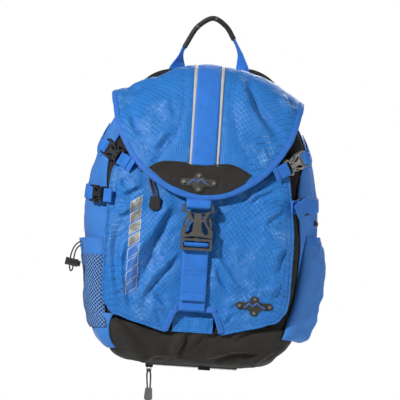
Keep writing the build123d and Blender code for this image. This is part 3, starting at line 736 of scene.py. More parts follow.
def base():
    """The black heavy-duty cup under the body, slack and folded at its corners."""
    columns, rows = 300, 90
    a = np.linspace(0, 2 * pi, columns, endpoint=False)
    t = np.linspace(0, 1, rows)[:, None]
    depth = 443 + 61.5 * np.minimum(t / 0.72, 1) ** 0.92
    shrink = 1 - np.clip((t - 0.72) / 0.28, 0, 1)
    p = body_ring(a[None], depth)
    p[..., 0] *= shrink
    p[..., 1] = 12 + (p[..., 1] - 12) * shrink
    n = outward(p, (0, 12, -440))
    x, z = p[..., 0] + 0.5 * p[..., 1], p[..., 2]
    d = 1.2 + 2.6 * crumple(x, z * 1.6, 60, 31) + 1.0 * crumple(x, z, 22, 37)
    strokes = [(-118, -438, -58, -500, 5, 6.0), (-104, -436, -60, -462, 4, 3.6),
               (-26, -492, -8, -452, 3.5, 4.0), (22, -488, 100, -474, 4, 4.6),
               (58, -462, 76, -448, 3.5, 2.6), (88, -498, 124, -470, 4, 3.6),
               (-78, -500, -30, -486, 4, 2.6), (-2, -470, 30, -452, 3.5, 2.6)]
    d += 1.3 * folds(p[..., 0], z, strokes) * step(-p[..., 1], 10, 30)
    seam, flank, under = step(depth, 443, 452), step(np.abs(p[..., 0]), 112, 124), step(t, 0.62, 0.72)
    d *= (0.3 + 0.7 * seam) * (1 - 0.75 * flank) * (1 - under)
    sheet("base_cup", p + n * d[..., None], (0, 12, -440), 1.6, "black_fabric",
          replaces=["base_panel"], closed=True)


def collar():
    """The black snow collar inside the mouth, gathered along its hem."""
    columns, rows = 260, 24
    a = np.linspace(0, 2 * pi, columns, endpoint=False)
    t = np.linspace(0, 1, rows)[:, None]
    depth = 150 - 40 * t
    inset = 4.5 + 4 * step(t, 0.4, 0.8)
    p = body_ring(a[None], np.maximum(depth, 112))
    p[..., 2] = -depth
    n = outward(p, (0, 12, -130))
    d = -inset + 1.3 * np.sin(a * 46)[None] * t + 0.8 * waves(a * 60, t * 20, 8, 3) * t
    sheet("snow_collar", p + n * d[..., None], (0, 12, -130), 1.0, "black_fabric",
          replaces=["collar"], closed=True)


# ---------------------------------------------------------------- flap
# The flap's middle line as Y and Z, and how far its sides lie behind it and below it.
ROWS = np.array([(58, -77, 0, 50), (32, -69, 0, 50), (2, -70, 4, 48), (-28, -83, 9, 42),
                 (-55, -113, 14, 30), (-75, -155, 14, 18), (-87, -200, 12, 9),
                 (-94, -240, 9, 4), (-97.5, -272, 8, 0)], float)
RUN = arc(ROWS[:, :2])
ROW_Y, ROW_Z, ROW_BEHIND, ROW_BELOW = [curve(RUN, ROWS[:, k]) for k in range(4)]
EDGE_Z = curve([0, 34, 65, 95, 118, 129, 135.5, 138, 138.5],
               [-264, -258, -243, -219, -187, -163, -135, -116, -60])
BEHIND_FLAP = (0, 40, -260)


def flap_inner(x, s):
    """The flap's inner face: x across it, s along its middle from its rear edge."""
    share = np.abs(x) / 138
    sag = 7 * step(-x, 32, 72) * (1 - step(-x, 112, 137)) * (1 - step(s, 95, 170))
    return points(x, ROW_Y(s) + ROW_BEHIND(s) * share**2,
                  ROW_Z(s) - ROW_BELOW(s) * share**1.9 - sag)


def flap_half_width(s):
    """How far the flap reaches to each side at a distance along its middle."""
    xs = np.linspace(0, 138, 600)
    z = flap_inner(xs, s)[:, 2]
    inside = z >= EDGE_Z(xs)
    return xs[inside].max() if inside.any() else 0.0


def seam_x(z):
    """The slanted seam between the flap's middle wedge and its side panels."""
    return np.interp(-z, [69, 129, 173, 217], [37, 34, 43, 74])


FLAP_FOLDS = [(42, -92, 100, -178, 7, 7.0), (-74, -196, -48, -164, 3.5, 3.4),
              (-112, -112, -76, -94, 4, 2.2), (104, -108, 126, -132, 4, 3.0),
              (-116, -150, -96, -182, 4, 2.6), (-58, -120, -50, -152, 3.5, 2.0),
              (84, -188, 98, -206, 3, 2.2), (-88, -140, -64, -128, 4, 1.8)]


def flap_relief(x, z, half):
    """How far the flap's cloth stands off: puffed panels, folds and puckers."""
    middle = np.abs(x)
    seam = np.minimum(np.abs(middle - 20), np.abs(middle - seam_x(z)))
    puff = 1.7 * (1 - np.exp(-(seam / 6.5) ** 2)) * np.clip((half - middle) / 14, 0, 1)
    outer = 1.35 * step(middle, 22, 40)
    d = puff * step(middle, 19, 24) + outer * (0.7 * waves(x, z, 55, 2) + 0.9 * crumple(x, z, 42, 8))
    d = d + outer * folds(x, z, FLAP_FOLDS)
    pucker = 0.5 * np.sin(z * 2 * pi / 9) * np.exp(-(seam / 4) ** 2) * outer
    patch = step(z, -222, -209)
    return (d + pucker) * (0.12 + 0.88 * patch)


def flap_grid():
    """The flap's edge directions and its outer face, on rows that follow its outline."""
    columns, rows = 151, 170
    s_tip = np.interp(264, -ROWS[:, 1], RUN)
    s = s_tip * (1 - (1 - np.linspace(0, 1, rows)) ** 1.35)
    half = np.array([flap_half_width(v) for v in s])
    half[-1] = 0.5
    u = np.sin(np.linspace(-pi / 2, pi / 2, columns) * 0.92) / sin(pi / 2 * 0.92)
    x = half[:, None] * u[None]
    p = flap_inner(x, s[:, None])
    even = np.linspace(-138, 138, columns)
    n = outward(flap_inner(even[None], s[:, None]), BEHIND_FLAP)
    index = np.interp(x, even, np.arange(columns))
    low = np.floor(index).astype(int).clip(0, columns - 2)
    part = (index - low)[..., None]
    j = np.arange(rows)[:, None]
    n = n[j, low] * (1 - part) + n[j, low + 1] * part
    d = 3 + flap_relief(x, p[..., 2], half[:, None] + 0.01)
    return n, p + n * d[..., None]


FLAP_N, FLAP_OUT = flap_grid()


def on_flap(x, z, lift):
    """Points on the flap's outer face under given X and Z, lifted off it."""
    x, z = np.broadcast_arrays(np.asarray(x, float), np.asarray(z, float))
    table = np.linspace(0, RUN[-1], 500)
    out = np.zeros((*x.shape, 3))
    ups = np.zeros((*x.shape, 3))
    for k in np.ndindex(x.shape):
        heights = flap_inner(np.full(500, x[k]), table)[:, 2]
        first = int(np.argmax(heights))
        s = np.interp(-z[k], -heights[first:], table[first:])
        a, b = flap_inner(x[k], s - 1), flap_inner(x[k], s + 1)
        c, d = flap_inner(x[k] - 1, s), flap_inner(x[k] + 1, s)
        n = np.cross(b - a, d - c)
        n /= np.linalg.norm(n)
        if n[1] > 0:
            n = -n
        half = flap_half_width(s)
        out[k] = (a + b) / 2 + n * (3 + lift + flap_relief(x[k], z[k], half + 0.01))
        ups[k] = n
    return out, ups


def flap_strip(name, x0, x1, material, crown, columns, replaces=()):
    """A tape that runs down the flap between two X values, from its rear edge to its tip."""
    s = np.linspace(2, float(np.interp(213.5, -ROWS[:, 1], RUN)), 150)[:, None]
    n = outward(flap_inner(np.linspace(-60, 60, columns)[None], s), BEHIND_FLAP)
    d = 3.9 + crown * np.sin(pi * np.linspace(0, 1, columns))[None] ** 0.7
    grid = flap_inner(np.linspace(x0, x1, columns)[None], s) + n * d[..., None]
    sheet(name, grid, BEHIND_FLAP, 1.2, material, "flap", replaces)


def flap():
    cloth_piece = sheet("flap_cloth", FLAP_OUT, BEHIND_FLAP, 2.4, "ripstop", "flap", ["flap"])
    cloth_piece.data.materials.append(MAT["ripfine"])
    for face in cloth_piece.data.polygons:
        face.material_index = int(abs(face.center.x) * 1000 < seam_x(face.center.z * 1000))
    left, right = FLAP_OUT[:-1, 0], FLAP_OUT[:-1, -1]
    path = np.concatenate([left, FLAP_OUT[-1:, 75], right[::-1]])
    ups = np.concatenate([FLAP_N[:-1, 0], FLAP_N[-1:, 75], FLAP_N[:-1, -1][::-1]])
    path, keep = resampled(path, 420)
    ups = points(*[np.interp(keep, np.linspace(0, 1, len(ups)), line) for line in ups.T])
    binding = [(7.6, -0.2), (7.4, 0.9), (6.6, 1.25), (3.5, 1.4), (0.8, 1.3), (-0.5, 0.6),
               (-0.9, -0.9), (-0.6, -2.4), (0.8, -3.3), (3.5, -3.5), (7.4, -3.2), (7.6, -2.2)]
    own(sweep("flap_edge_tape", path, ups, binding, "blue_tape"), "flap")
    inward = np.cross(ups, np.gradient(path, axis=0))
    inward /= np.linalg.norm(inward, axis=1, keepdims=True)
    stitches("flap_edge_stitches", path + inward * 6.2 + ups * 1.2, ups, body="flap")
    flap_strip("centre_band", -17.6, 17.6, "blue_webbing", 0.5, 9, ["flap_webbing"])
    flap_strip("left_piping", -21.0, -18.2, "piping", 0.9, 7, ["flap_piping"])
    flap_strip("right_piping", 18.2, 21.0, "piping", 0.9, 7)
    for side in (-1, 1):
        for x, tag in ((22.6, "band"), (None, "wedge")):
            z = np.linspace(-72, -208, 96)
            xs = side * (np.full(96, x) if x else seam_x(z) + 1.2)
            p, n = on_flap(xs, z, 0.1)
            label = f"{'left' if side < 0 else 'right'}_{tag}_stitches"
            stitches(label, p, n, body="flap", radius=0.32 if x else 0.6)
    patch()
    buckle_loop()


def resampled(path, count):
    """The path at even spacing, and where each point lies from 0 to 1 among the old ones."""
    run = arc(path)
    t = np.linspace(0, run[-1], count)
    share = np.interp(t, run, np.linspace(0, 1, len(path)))
    return points(*[np.interp(t, run, line) for line in path.T]), share


def patch():
    """The black patch on the flap's tip, smooth where its badge sits."""
    xs = np.concatenate([[-79], np.linspace(-77.5, 67.5, 97), [69]])
    upper = curve([-79, -68, -48, -29, -18, -3, 19, 34, 51, 69],
                  [-222, -215, -211.5, -211.6, -214.4, -215.0, -212, -211, -215, -224])(xs)
    lower = curve([-79, -70, -58, -30, -2, 22, 45, 60, 69],
                  [-222, -229, -238, -250, -256, -254, -246, -235, -224])(xs)
    t = np.linspace(0, 1, 26)[:, None]
    z = upper[None] * (1 - t) + lower[None] * t
    p, n = on_flap(xs[None], z, 1.0)
    calm = np.exp(-((xs[None] + 6) / 32) ** 4 - ((z + 238) / 17) ** 4)
    d = (0.9 * crumple(xs[None] + 0 * z, z, 26, 5) + 0.3) * (1 - calm)
    sheet("flap_patch_cloth", p + n * d[..., None], BEHIND_FLAP, 0.9, "black_fabric", "flap",
          ["flap_patch"])
    tape("patch_piping", p[0] + n[0] * 0.3, n[0], (1.6, 1.2), "black_webbing", "flap")


def buckle_loop():
    """The webbing that comes out from under the flap's tip and holds the front socket."""
    x, y, _ = centre("front_socket")
    z = corner("front_socket", 1)[2]
    route = [(x, -93.5, -250), (x, -95.6, -262), (x, y + 3.4, z - 1), (x, y + 4.6, z - 5.5),
             (x, y + 0.3, z - 8.4), (x, y - 4.2, z - 5), (x, y - 2.6, z + 1.5),
             (x, -98.4, -262), (x, -96.6, -252)]
    path = smooth_path(route, 70)
    ups = np.cross((1.0, 0, 0), np.gradient(path, axis=0))
    tape("buckle_loop", path, ups, (35, 1.3), "blue_webbing", "flap")


# ---------------------------------------------------------------- front panel
# The panel's middle line as Y and Z.
PROFILE = np.array([(-68, -195), (-75, -222), (-82, -265), (-85.5, -315), (-86, -370),
                    (-83, -415), (-77, -462)], float)
PANEL_Y = curve(-PROFILE[:, 1], PROFILE[:, 0])
PANEL_TOP = curve([0, 98, 126, 134, 135.2], [-201, -201, -219, -262, -326])
PANEL_LOW = curve([0, 40, 70, 104, 126, 134, 135.2], [-459, -456, -448, -438, -424, -400, -334])
PANEL_HALF = 135.2
BEHIND_PANEL = (0, 40, -330)
PANEL_FOLDS = [(-112, -258, -88, -246, 3.5, 3.2), (-118, -292, -98, -280, 3.5, 3.4),
               (-44, -268, -92, -402, 6.5, 6.5), (-78, -318, -96, -410, 5, 4.5),
               (-30, -342, -84, -420, 4, 4.0), (-126, -300, -112, -430, 5, 5.2),
               (-108, -330, -98, -436, 4.5, 4.6), (-122, -240, -104, -262, 3, 2.6),
               (-62, -408, -42, -424, 3.5, 3.4), (26, -340, 74, -398, 3, 3.2),
               (22, -362, 44, -396, 3, 2.6), (46, -418, 78, -398, 3, 2.6),
               (68, -262, 112, -238, 3, 2.6), (92, -292, 122, -268, 3.5, 2.2),
               (110, -360, 124, -320, 3.5, 3.0), (104, -412, 122, -372, 3.5, 2.8),
               (40, -440, 60, -420, 3, 2.2), (-50, -452, -62, -420, 3, 2.0)]


def panel_inner(x, z):
    """The front panel's plain face at an X and a Z, before its folds."""
    wrap = 10 * (np.maximum(0, np.abs(x) - 88) / 47) ** 2
    drawn_in = 7 * step(x, 40, 134) * (1 - step(-z, 225, 325))
    return points(x - drawn_in, PANEL_Y(-z) + wrap, z)


def panel_relief(x, z):
    """How far the panel's cloth stands off; it is calm under its badge, strap and pull."""
    edge = np.minimum(np.minimum(PANEL_HALF - np.abs(x), PANEL_TOP(np.abs(x)) - z + 6),
                      z - PANEL_LOW(np.abs(x)))
    soft = 1 - np.exp(-(np.maximum(edge, 0) / 9) ** 2)
    badge = np.exp(-((x - 86) / 33) ** 4 - ((z + 412) / 19) ** 4)
    strap = np.exp(-((x + 4) / 25) ** 6) * step(-z, 262, 285)
    pull = np.exp(-((x + 70) / 16) ** 4 - ((z + 254) / 34) ** 4)
    d = (0.9 * waves(x, z, 70, 12) + 2.2 * crumple(x, z, 50, 20) + 0.7 * crumple(x, z, 18, 25)
         + 1.4 * folds(x, z, PANEL_FOLDS))
    pucker = 0.5 * np.sin(z * 2 * pi / 11 + x / 7) * np.exp(-(np.maximum(edge, 0) / 6) ** 2)
    return (d * soft + pucker) * (1 - badge) * (1 - 0.75 * strap) * (1 - 0.7 * pull)


def on_panel(x, z, lift=0.0, relief=True):
    """Points on the panel's outer face, lifted off it, and the way it faces there."""
    x, z = np.broadcast_arrays(np.asarray(x, float), np.asarray(z, float))
    p = panel_inner(x, z)
    n = points(np.sign(x) * np.maximum(0, np.abs(x) - 88) * 0.009, -1.0,
               (PANEL_Y(-z + 1) - PANEL_Y(-z - 1)) / 2)
    n /= np.linalg.norm(n, axis=-1, keepdims=True)
    d = 3 + lift + (panel_relief(x, z) if relief else 0 * x)
    return p + n * d[..., None], n


def arch_low(x):
    """Lower edge of the panel: its outline, or the arch where the arch cuts into it."""
    x = np.abs(x)
    leg = np.where(x < 24, -425, np.where(x < 29, -425 - (x - 24) * 0.8,
                                          -429 - (x - 29) * 41 / 13))
    return np.where(x < 38.3, np.maximum(leg, PANEL_LOW(x)), PANEL_LOW(x))


def panel_edge(inset):
    """The panel's outline from one top corner round the bottom to the other, moved inwards."""
    count = 420
    low = PANEL_HALF * np.sin(np.linspace(-1, 1, count) * pi / 2)
    top = np.linspace(126, PANEL_HALF, 40)
    x = np.concatenate([-top, [-PANEL_HALF], low, [PANEL_HALF], top[::-1]])
    z = np.concatenate([PANEL_TOP(top), PANEL_LOW(np.abs(x[40:-40])), PANEL_TOP(top[::-1])])
    flat = points(x, z)
    keep = np.concatenate([[True], np.linalg.norm(np.diff(flat, axis=0), axis=1) > 0.2])
    flat, _ = resampled(flat[keep], count)
    way = np.gradient(flat, axis=0)
    way /= np.linalg.norm(way, axis=1, keepdims=True)
    flat = flat + inset * points(-way[:, 1], way[:, 0])
    return flat[:, 0], flat[:, 1]


def front_panel():
    columns, rows = 260, 240
    u = np.linspace(-1, 1, columns)
    x = PANEL_HALF * np.sin(u * pi / 2 * 0.97) / sin(pi / 2 * 0.97)
    t = np.linspace(0, 1, rows)[:, None]
    z = PANEL_TOP(np.abs(x))[None] * (1 - t) + arch_low(x)[None] * t
    grid, _ = on_panel(x[None], z)
    sheet("stash_panel", grid, BEHIND_PANEL, 2.0, "ripstop", replaces=["front_panel"])
    x, z = panel_edge(-0.2)
    for side, sign in (("left", -1), ("right", 1)):
        part = (x * sign > 0) & ~((np.abs(x) < 39) & (z < -440))
        p, n = on_panel(x[part], z[part], -0.8, False)
        tape(f"panel_edge_{side}", p, n, (2.0, 2.6), "ripstop")
    for inset, tag in ((3.4, "outer"), (9.0, "inner")):
        x, z = panel_edge(inset)
        keep = ~((np.abs(x) < 46) & (z < -440))
        for side, sign in (("left", -1), ("right", 1)):
            part = keep & (x * sign > 0)
            p, n = on_panel(x[part], z[part], 0.1)
            stitches(f"panel_{tag}_stitches_{side}", p, n)
    gusset()
    arch()
    stripe()
    pocket_zip()


def gusset():
    """The pleated wall between the panel's edge and the main compartment."""
    x, z = panel_edge(1.5)
    outer, _ = on_panel(x, z, -2.5, False)
    inner = points(x * 0.985, BODY_YF(-z) + 1.0, z + 3)
    t = np.linspace(0, 1, 14)[:, None]
    grid = outer[None] * (1 - t[..., None]) + inner[None] * t[..., None]
    out = points(x, 0, z + 330)
    out /= np.linalg.norm(out, axis=1, keepdims=True)
    pleat = np.sin(pi * t) * (0.5 - 2.2 * np.abs(waves(arc(outer)[None], 40 * t, 26, 6)))
    sheet("panel_gusset", grid + out[None] * pleat[..., None], (0, -40, -330), 1.0, "black_fabric",
          replaces=["pocket_gusset"])


def arch():
    """The bound arch in the panel's lower edge, with the panel's lining behind it."""
    outline = [(-37.2, -455), (-33, -442), (-29, -430), (-27, -426.6), (-24, -425), (24, -425),
               (27, -426.6), (29, -430), (33, -442), (37.2, -455)]
    x, z = resampled(np.array(outline), 130)[0].T
    p, n = on_panel(x * 1.10, np.where(np.abs(x) > 26, z, z + 3.0), 0.5)
    tape("arch_tape", p, n, (7.2, 2.6, 0.4), "blue_tape", replaces=["arch_binding"])
    stitches("arch_stitches", p + n * 1.7, n)
    x = np.linspace(-31.5, 28, 50)[None]
    z = np.linspace(-424, -456, 26)[:, None]
    y = -75.5 - 1.5 * crumple(x + 0 * z, z + 0 * x, 24, 3) + 0.1 * (z + 424)
    sheet("arch_lining", points(x, y, z), (0, 40, -440), 0.8, "ripfine")


def stripe():
    """A plain printed bar of slanted blocks down the panel's left, silver fading to blue."""
    count, top, low, middle = 8, -266.0, -404.0, -94.0
    pitch = (top - low) / count
    u = np.linspace(-1, 1, 15)[None]
    t = np.linspace(0, 1, 12)[:, None]
    for k in range(count):
        z1 = top - k * pitch - 1.2
        z0 = z1 - pitch + 4.2
        width = 14.5 - 1.0 * (k % 2)
        face = "silver_print" if k < 4 else "blue_print"
        for tag, grow, lift, material in (("rim", 0.75, 0.12, "white_print"), ("face", 0.0, 0.26, face)):
            z = (z1 + grow) * (1 - t) + (z0 - grow) * t + 5.5 * u
            grid, _ = on_panel(middle + u * (width / 2 + grow), z, lift)
            sheet(f"print_{tag}_{k + 1}", grid, BEHIND_PANEL, 0, material)


def pocket_zip():
    """The stash panel's zip: its tape and the coil along its middle."""
    z = -222.0
    x = np.linspace(-95, 95, 120)
    grid, _ = on_panel(x[None], np.linspace(z + 5.6, z - 5.6, 9)[:, None], 0.6, False)
    sheet("pocket_zip_tape", grid, BEHIND_PANEL, 0.6, "black_webbing", replaces=["pocket_zip"])
    p, n = on_panel(x, z, 1.1, False)
    stitches("pocket_zip_coil", p, n, "pack", "thread_black", 1.7, 1.1, 1.2, 0.5)


# ---------------------------------------------------------------- front strap
def front_strap():
    """The free webbing below the front buckle: sewn at the arch, through the plug, and its tail."""
    x, y, _ = centre("front_plug")
    foot = corner("front_plug", 0)[2]
    z = foot + 8.5                                      # the plug's bar
    behind = [(x, -89.4, -424), (x, -90.4, -405), (x, -91.6, -375), (x, -93.0, -348),
              (x, y + 7.4, foot - 6), (x, y + 6.6, foot + 2), (x, y + 3.4, z), (x, y + 1.8, z + 2.4)]
    over = [(x, y - 0.6, z + 2.6), (x, y - 1.9, z), (x, y - 0.6, z - 2.6), (x, y + 3.0, foot + 3.8),
            (x, y + 5.2, foot), (x, y + 5.0, foot - 6), (x, -95.6, -350), (x, -94.8, -370),
            (x, -94.2, -388), (x, -93.6, -402), (x, -94.4, -410)]
    path = smooth_path(behind + over, 150)
    ups = np.cross(np.gradient(path, axis=0), (1.0, 0, 0))
    pieces = [tape("front_webbing", path, ups, (36.2, 1.4), "blue_webbing", replaces=["front_strap"])]
    for z, y, tag in ((-366, -95.9, "upper"), (-372, -95.6, "middle"), (-397, -94.7, "lower")):
        p = points(np.linspace(x - 16.5, x + 16.5, 24), y, z)
        pieces.append(stitches(f"front_strap_{tag}_stitches", p, FORWARD, radius=0.55))
    anchor = metres((x, -88, corner("front_strap", 0)[2]))
    for piece in pieces:
        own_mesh(piece)


# ---------------------------------------------------------------- compression straps
# Each buckle's pull direction, the way its face points, and where it starts on the right side;
# REAR is the depth of its rear strap at the front and the rear of the flank.
RELEASE = {h: np.array(JOINTS[f"right_{h}_release"]["axis"]) for h in ("upper", "lower")}
FACING = {"upper": np.array((0.54, -0.84, -0.02)), "lower": np.array((0.80, -0.60, 0.0))}
START = {"upper": np.array((117.0, -80, -213)), "lower": np.array((137.0, -81, -265))}
REAR = {"upper": (198, 167), "lower": (263, 258)}


def mirrored(place, sign):
    """Points of the right side, or with sign -1 the same ones on the left."""
    p = np.asarray(place, float).copy()
    p[..., 0] *= sign
    return p


def compression():
    """The webbing at the four side buckles: tab, rear strap and the plug's loop."""
    for side, sign in SIDES:
        for height in ("upper", "lower"):
            way, start = RELEASE[height], START[height]
            up = FACING[height] - way * (FACING[height] @ way)
            up /= np.linalg.norm(up)
            middle = start + way * 22
            bar = middle - way * 15.8
            sewn = 16 if height == "upper" else 7
            tab = [start - way * sewn - up * 3.0, start - way * 4 - up * 2.6, bar - way * 4 - up * 2.4,
                   bar - way * 0.6 - up * 2.2, bar + way * 1.9, bar - way * 0.4 + up * 2.3,
                   bar - way * 5 + up * 0.6, start - way * 8 - up * 1.0]
            first = side == "right" and height == "upper"
            add_tape(f"{side}_{height}_tab", tab, up, sign, 19,
                     replaces=["compression_tabs", "compression_straps"] if first else [])
            tail = middle + way * 12.5
            rear = [tail - up * 4.2, tail + way * 5 - up * 4.6, *flank_line(*REAR[height])]
            out = np.array([1.0, -0.1, 0.38 if height == "upper" else 0.08])
            add_tape(f"{side}_{height}_rear", rear, [up, up, out, out, out, out], sign, 19)
            plug_end = middle + way * 13.6
            loop = [plug_end + way * 8 - up * 3.9, plug_end + way * 3.0 - up * 3.6,
                    plug_end - way * 1.2 - up * 1.6, plug_end - way * 1.8 + up * 1.9,
                    plug_end + way * 2.0 + up * 3.6, plug_end + way * 9 + up * 2.2]
            add_tape(f"{side}_{height}_loop", loop, up, sign, 18, f"{side}_{height}_plug")
    tail_over()


def flank_line(front, rear):
    """Points just off the right flank, from one depth near its front to another at its rear."""
    skin = body_ring(np.radians([-20, -8, 4, 14]), np.linspace(front, rear, 4))
    return list(skin + np.array([4.0, 0, 0]))


def add_tape(name, route, up, sign, width, body="pack", replaces=()):
    """A strap along a route on the right side, or its mirror image; it turns over where it bends.

    up is the way its face points at its start, or its face's way at even shares of the route."""
    path = smooth_path(mirrored(route, sign), 60)
    way = np.gradient(path, axis=0)
    way /= np.linalg.norm(way, axis=1, keepdims=True)
    up = mirrored(up, sign)
    if up.ndim == 1:
        ups = np.cross(np.cross(way[0], up), way)
    else:
        t = np.linspace(0, 1, len(up))
        facing = points(*[np.interp(np.linspace(0, 1, 60), t, line) for line in up.T])
        ups = np.cross(np.cross(way, facing), way)
    tape(name, path, ups, (width, 1.3), "blue_webbing", body, replaces)


def tail_over():
    """The loose end of the right lower strap, folded back over its buckle."""
    way, up = RELEASE["lower"], FACING["lower"]
    at = START["lower"] + way * 35
    route = [at + way * run + up * rise + np.array([0, 0, climb])
             for run, rise, climb in ((5.5, 1.5, 0), (3.5, 5.4, 0), (-6, 6.8, 0), (-18, 7.6, 3),
                                      (-30, 7.2, -1), (-41, 6.2, -7))]
    add_tape("right_lower_free_end", route, up, 1, 22, "right_lower_plug")


# ---------------------------------------------------------------- side pockets
def pocket_sheet(name, node, edge, sign, tops, material, swell, crease, seed, fronts, strokes=(),
                 hem=False):
    """The outer wall of a side pocket between two depths, from its front seam to its rear one.

    fronts are depths and the front seam's angle round the body at each."""
    reach = curve([-z for _, z in edge], [x for x, _ in edge])
    columns, rows = 110, 26 if hem else 110
    last = radians(EDGE_ANGLE - 2)
    depth = np.linspace(tops[0], tops[1], rows)[:, None]
    first = np.radians(curve(*fronts)(depth))
    a = first + (last - first) * np.linspace(0, 1, columns)[None]
    skin = body_ring(a, np.minimum(depth, 500))
    fade = np.sin(pi * np.clip((a - first) / (last - first), 0, 1)) ** 0.5
    bulge = np.maximum(reach(depth) - BODY_HW(depth), 0.6)
    n = outward(skin, (0, 12, -400))
    run = np.cumsum(np.linalg.norm(np.diff(skin, axis=1, prepend=skin[:, :1]), axis=2), axis=1)
    closing = 0 if hem else np.clip((depth - tops[1] + 34) / 34, 0, 1)
    d = fade * bulge * np.sqrt(1 - 0.96 * closing**2) + 0.9 + 3.4 * step(depth, 436, 450)
    wrinkle = swell * waves(run, depth, 45, seed) + crease * crumple(run, depth * 0.8, 34, seed + 1)
    wrinkle = wrinkle + folds(run, -depth, strokes)
    shy = fade * (0.25 if hem else 1.0)
    grid = skin + n * (d + shy * wrinkle - 0.6)[..., None]
    sheet(name, mirrored(grid, sign), (0, 12, -400), 1.2, material, replaces=[node], even=True)
    return grid, n


MESH_EDGE = [(176, -327), (172, -345), (166, -380), (163, -420), (154, -448), (140, -468),
             (110, -486)]
CLOTH_EDGE = [(177, -306), (183, -325), (184, -348), (179, -395), (170, -435), (155, -464),
              (110, -486)]
MESH_FRONT = ((327, 400, 455), (-27.5, -28, -33))
CLOTH_FRONT = ((306, 358, 405, 455), (-19, -22, -25, -32))


def side_pockets():
    grid, n = pocket_sheet("net_hem", "mesh_pocket_hem", MESH_EDGE, -1, (327, 352), "plain_blue", 0.4,
                           0.9, 4, MESH_FRONT, hem=True)
    for row, tag in ((1, "upper"), (-3, "lower")):
        stitches(f"net_hem_stitches_{tag}", mirrored(grid[row], -1), mirrored(n[row], -1),
                 pitch=3.0)
    pocket_sheet("net_wall", "mesh_pocket", MESH_EDGE, -1, (351, 456), "mesh", 0.8, 1.6, 14,
                 MESH_FRONT)
    body_sheet("left_low_side", "plain_blue", (166, 214), (436, 484), 1.2, 1.6, 27, lift=2.4)
    grid, n = pocket_sheet("side_hem", "side_pocket_hem", CLOTH_EDGE, 1, (306, 318), "blue_webbing",
                           0.3, 0.5, 6, CLOTH_FRONT, hem=True)
    for row, tag in ((3, "upper"), (12, "middle"), (22, "lower")):
        stitches(f"side_hem_stitches_{tag}", grid[row], n[row], pitch=3.0)
    strokes = [(96, -330, 52, -372, 7, 6.0), (50, -360, 60, -470, 8, 5.0),
               (100, -352, 86, -420, 7, 3.4), (30, -400, 70, -452, 6, 3.0)]
    pocket_sheet("side_bag", "side_pocket", CLOTH_EDGE, 1, (317, 458), "plain_blue", 1.2, 2.2, 24,
                 CLOTH_FRONT, strokes)
    seam = np.linspace(radians(-18), radians(EDGE_ANGLE - 2), 60)
    for depth, tag in ((282, "upper"), (296, "lower")):
        p = body_ring(seam, float(depth))
        ups = p - np.array([0, 12, -depth])
        ups /= np.linalg.norm(ups, axis=1, keepdims=True)
        stitches(f"flank_stitches_{tag}", p + ups * 2.6, ups, pitch=3.4)
    tab = smooth_path([(166.5, -24, -286), (169, -16, -287), (170.5, -8, -288)], 12)
    tape("flank_tab", tab, (0.8, -0.6, 0), (6, 1.4), "black_webbing")


# ---------------------------------------------------------------- haul loop
def haul_loop():
    """The two webbing legs and the ribbed rubber grip between them."""
    for side, sign in SIDES:
        leg = [(50, 61.6, -101), (50, 62.0, -92), (49, 64.6, -82), (47, 66, -70), (44.5, 66, -56),
               (42.5, 66, -47), (40, 66, -41)]
        if side == "right":
            leg += [(36, 66, -33), (31.5, 66, -25)]
        path = smooth_path(mirrored(leg, sign), 60)
        t = np.linspace(0, 1, 60)
        twist = radians(72) * step(t, 0.3 if side == "left" else 0.0, 0.9) * sign
        width = (25 if side == "left" else 22) - 14 * step(t, 0.35, 0.95)
        obj = sweep(f"{side}_haul_leg", path, points(np.sin(twist), np.cos(twist), 0),
                    flat_section(1.0, 0.08, 0.0), "blue_webbing", (width, 22))
        own(obj, "pack", ["haul_loop"] if sign > 0 else [])
        box = smooth_path([(38 * sign, 63.1, -97), (50 * sign, 63.1, -97), (62 * sign, 63.1, -97)], 20)
        stitches(f"{side}_haul_stitches", box, REARWARD)
    grip = [(-40, -42), (-36, -34), (-20, -8), (0, 3.5), (20, -8), (32, -26)]
    path = smooth_path([(x, HOOK_Y, z) for x, z in grip], 160)
    turns = np.linspace(0, 2 * pi, 48, endpoint=False)
    ribbed = (3.5 + 0.22 * np.cos(8 * turns))[:, None] * points(np.cos(turns), np.sin(turns))
    own(sweep("grip_tube", path, FORWARD, ribbed, "black_rubber"),
        replaces=["haul_grip"])
    for middle, tag in ((54, "left"), (100, "right")):
        own(sweep(f"grip_ring_{tag}", path[middle - 2:middle + 3], FORWARD, round_section(4.1, 28),
                  "grey_rubber"))


# ---------------------------------------------------------------- carrying system
def pad(name, sides, heights, faces, replaces, channels=0):
    """A stuffed pad between two sides, two heights and two faces, crowned and round at its edges."""
    (x0, x1), (z0, z1), (y0, y1) = sides, heights, faces
    u = np.linspace(-1, 1, 60)[None]
    v = np.linspace(-1, 1, 120)[:, None]
    corner_x = np.maximum(np.sqrt(np.maximum(1 - np.abs(v) ** 9, 0)) ** 0.6, 0.05)
    x = (x0(v) + x1(v)) / 2 + u * (x1(v) - x0(v)) / 2 * corner_x
    z = (z0 + z1) / 2 + v * (z1 - z0) / 2 + 0 * u
    rim = (1 - np.abs(u) ** 5) ** 0.5 * (1 - np.abs(v) ** 14) ** 0.5
    crown = rim
    if channels:
        groove = np.exp(-((np.mod((v + 1) * channels / 2, 1) - 0.5) / 0.09) ** 2)
        crown = rim * (1 - 0.16 * groove)
    y = y0 + (y1 - y0) * (0.25 + 0.75 * crown) + 0.3 * waves(x, z, 30, 3) * rim
    grid = np.concatenate([points(x, y, z), points(x, y0, z)[::-1]], axis=0)
    return sheet(name, grid, (float(np.mean(x)), y0, (z0 + z1) / 2), 0, "padding", replaces=replaces)


def straight(value):
    return lambda v: value + 0 * v


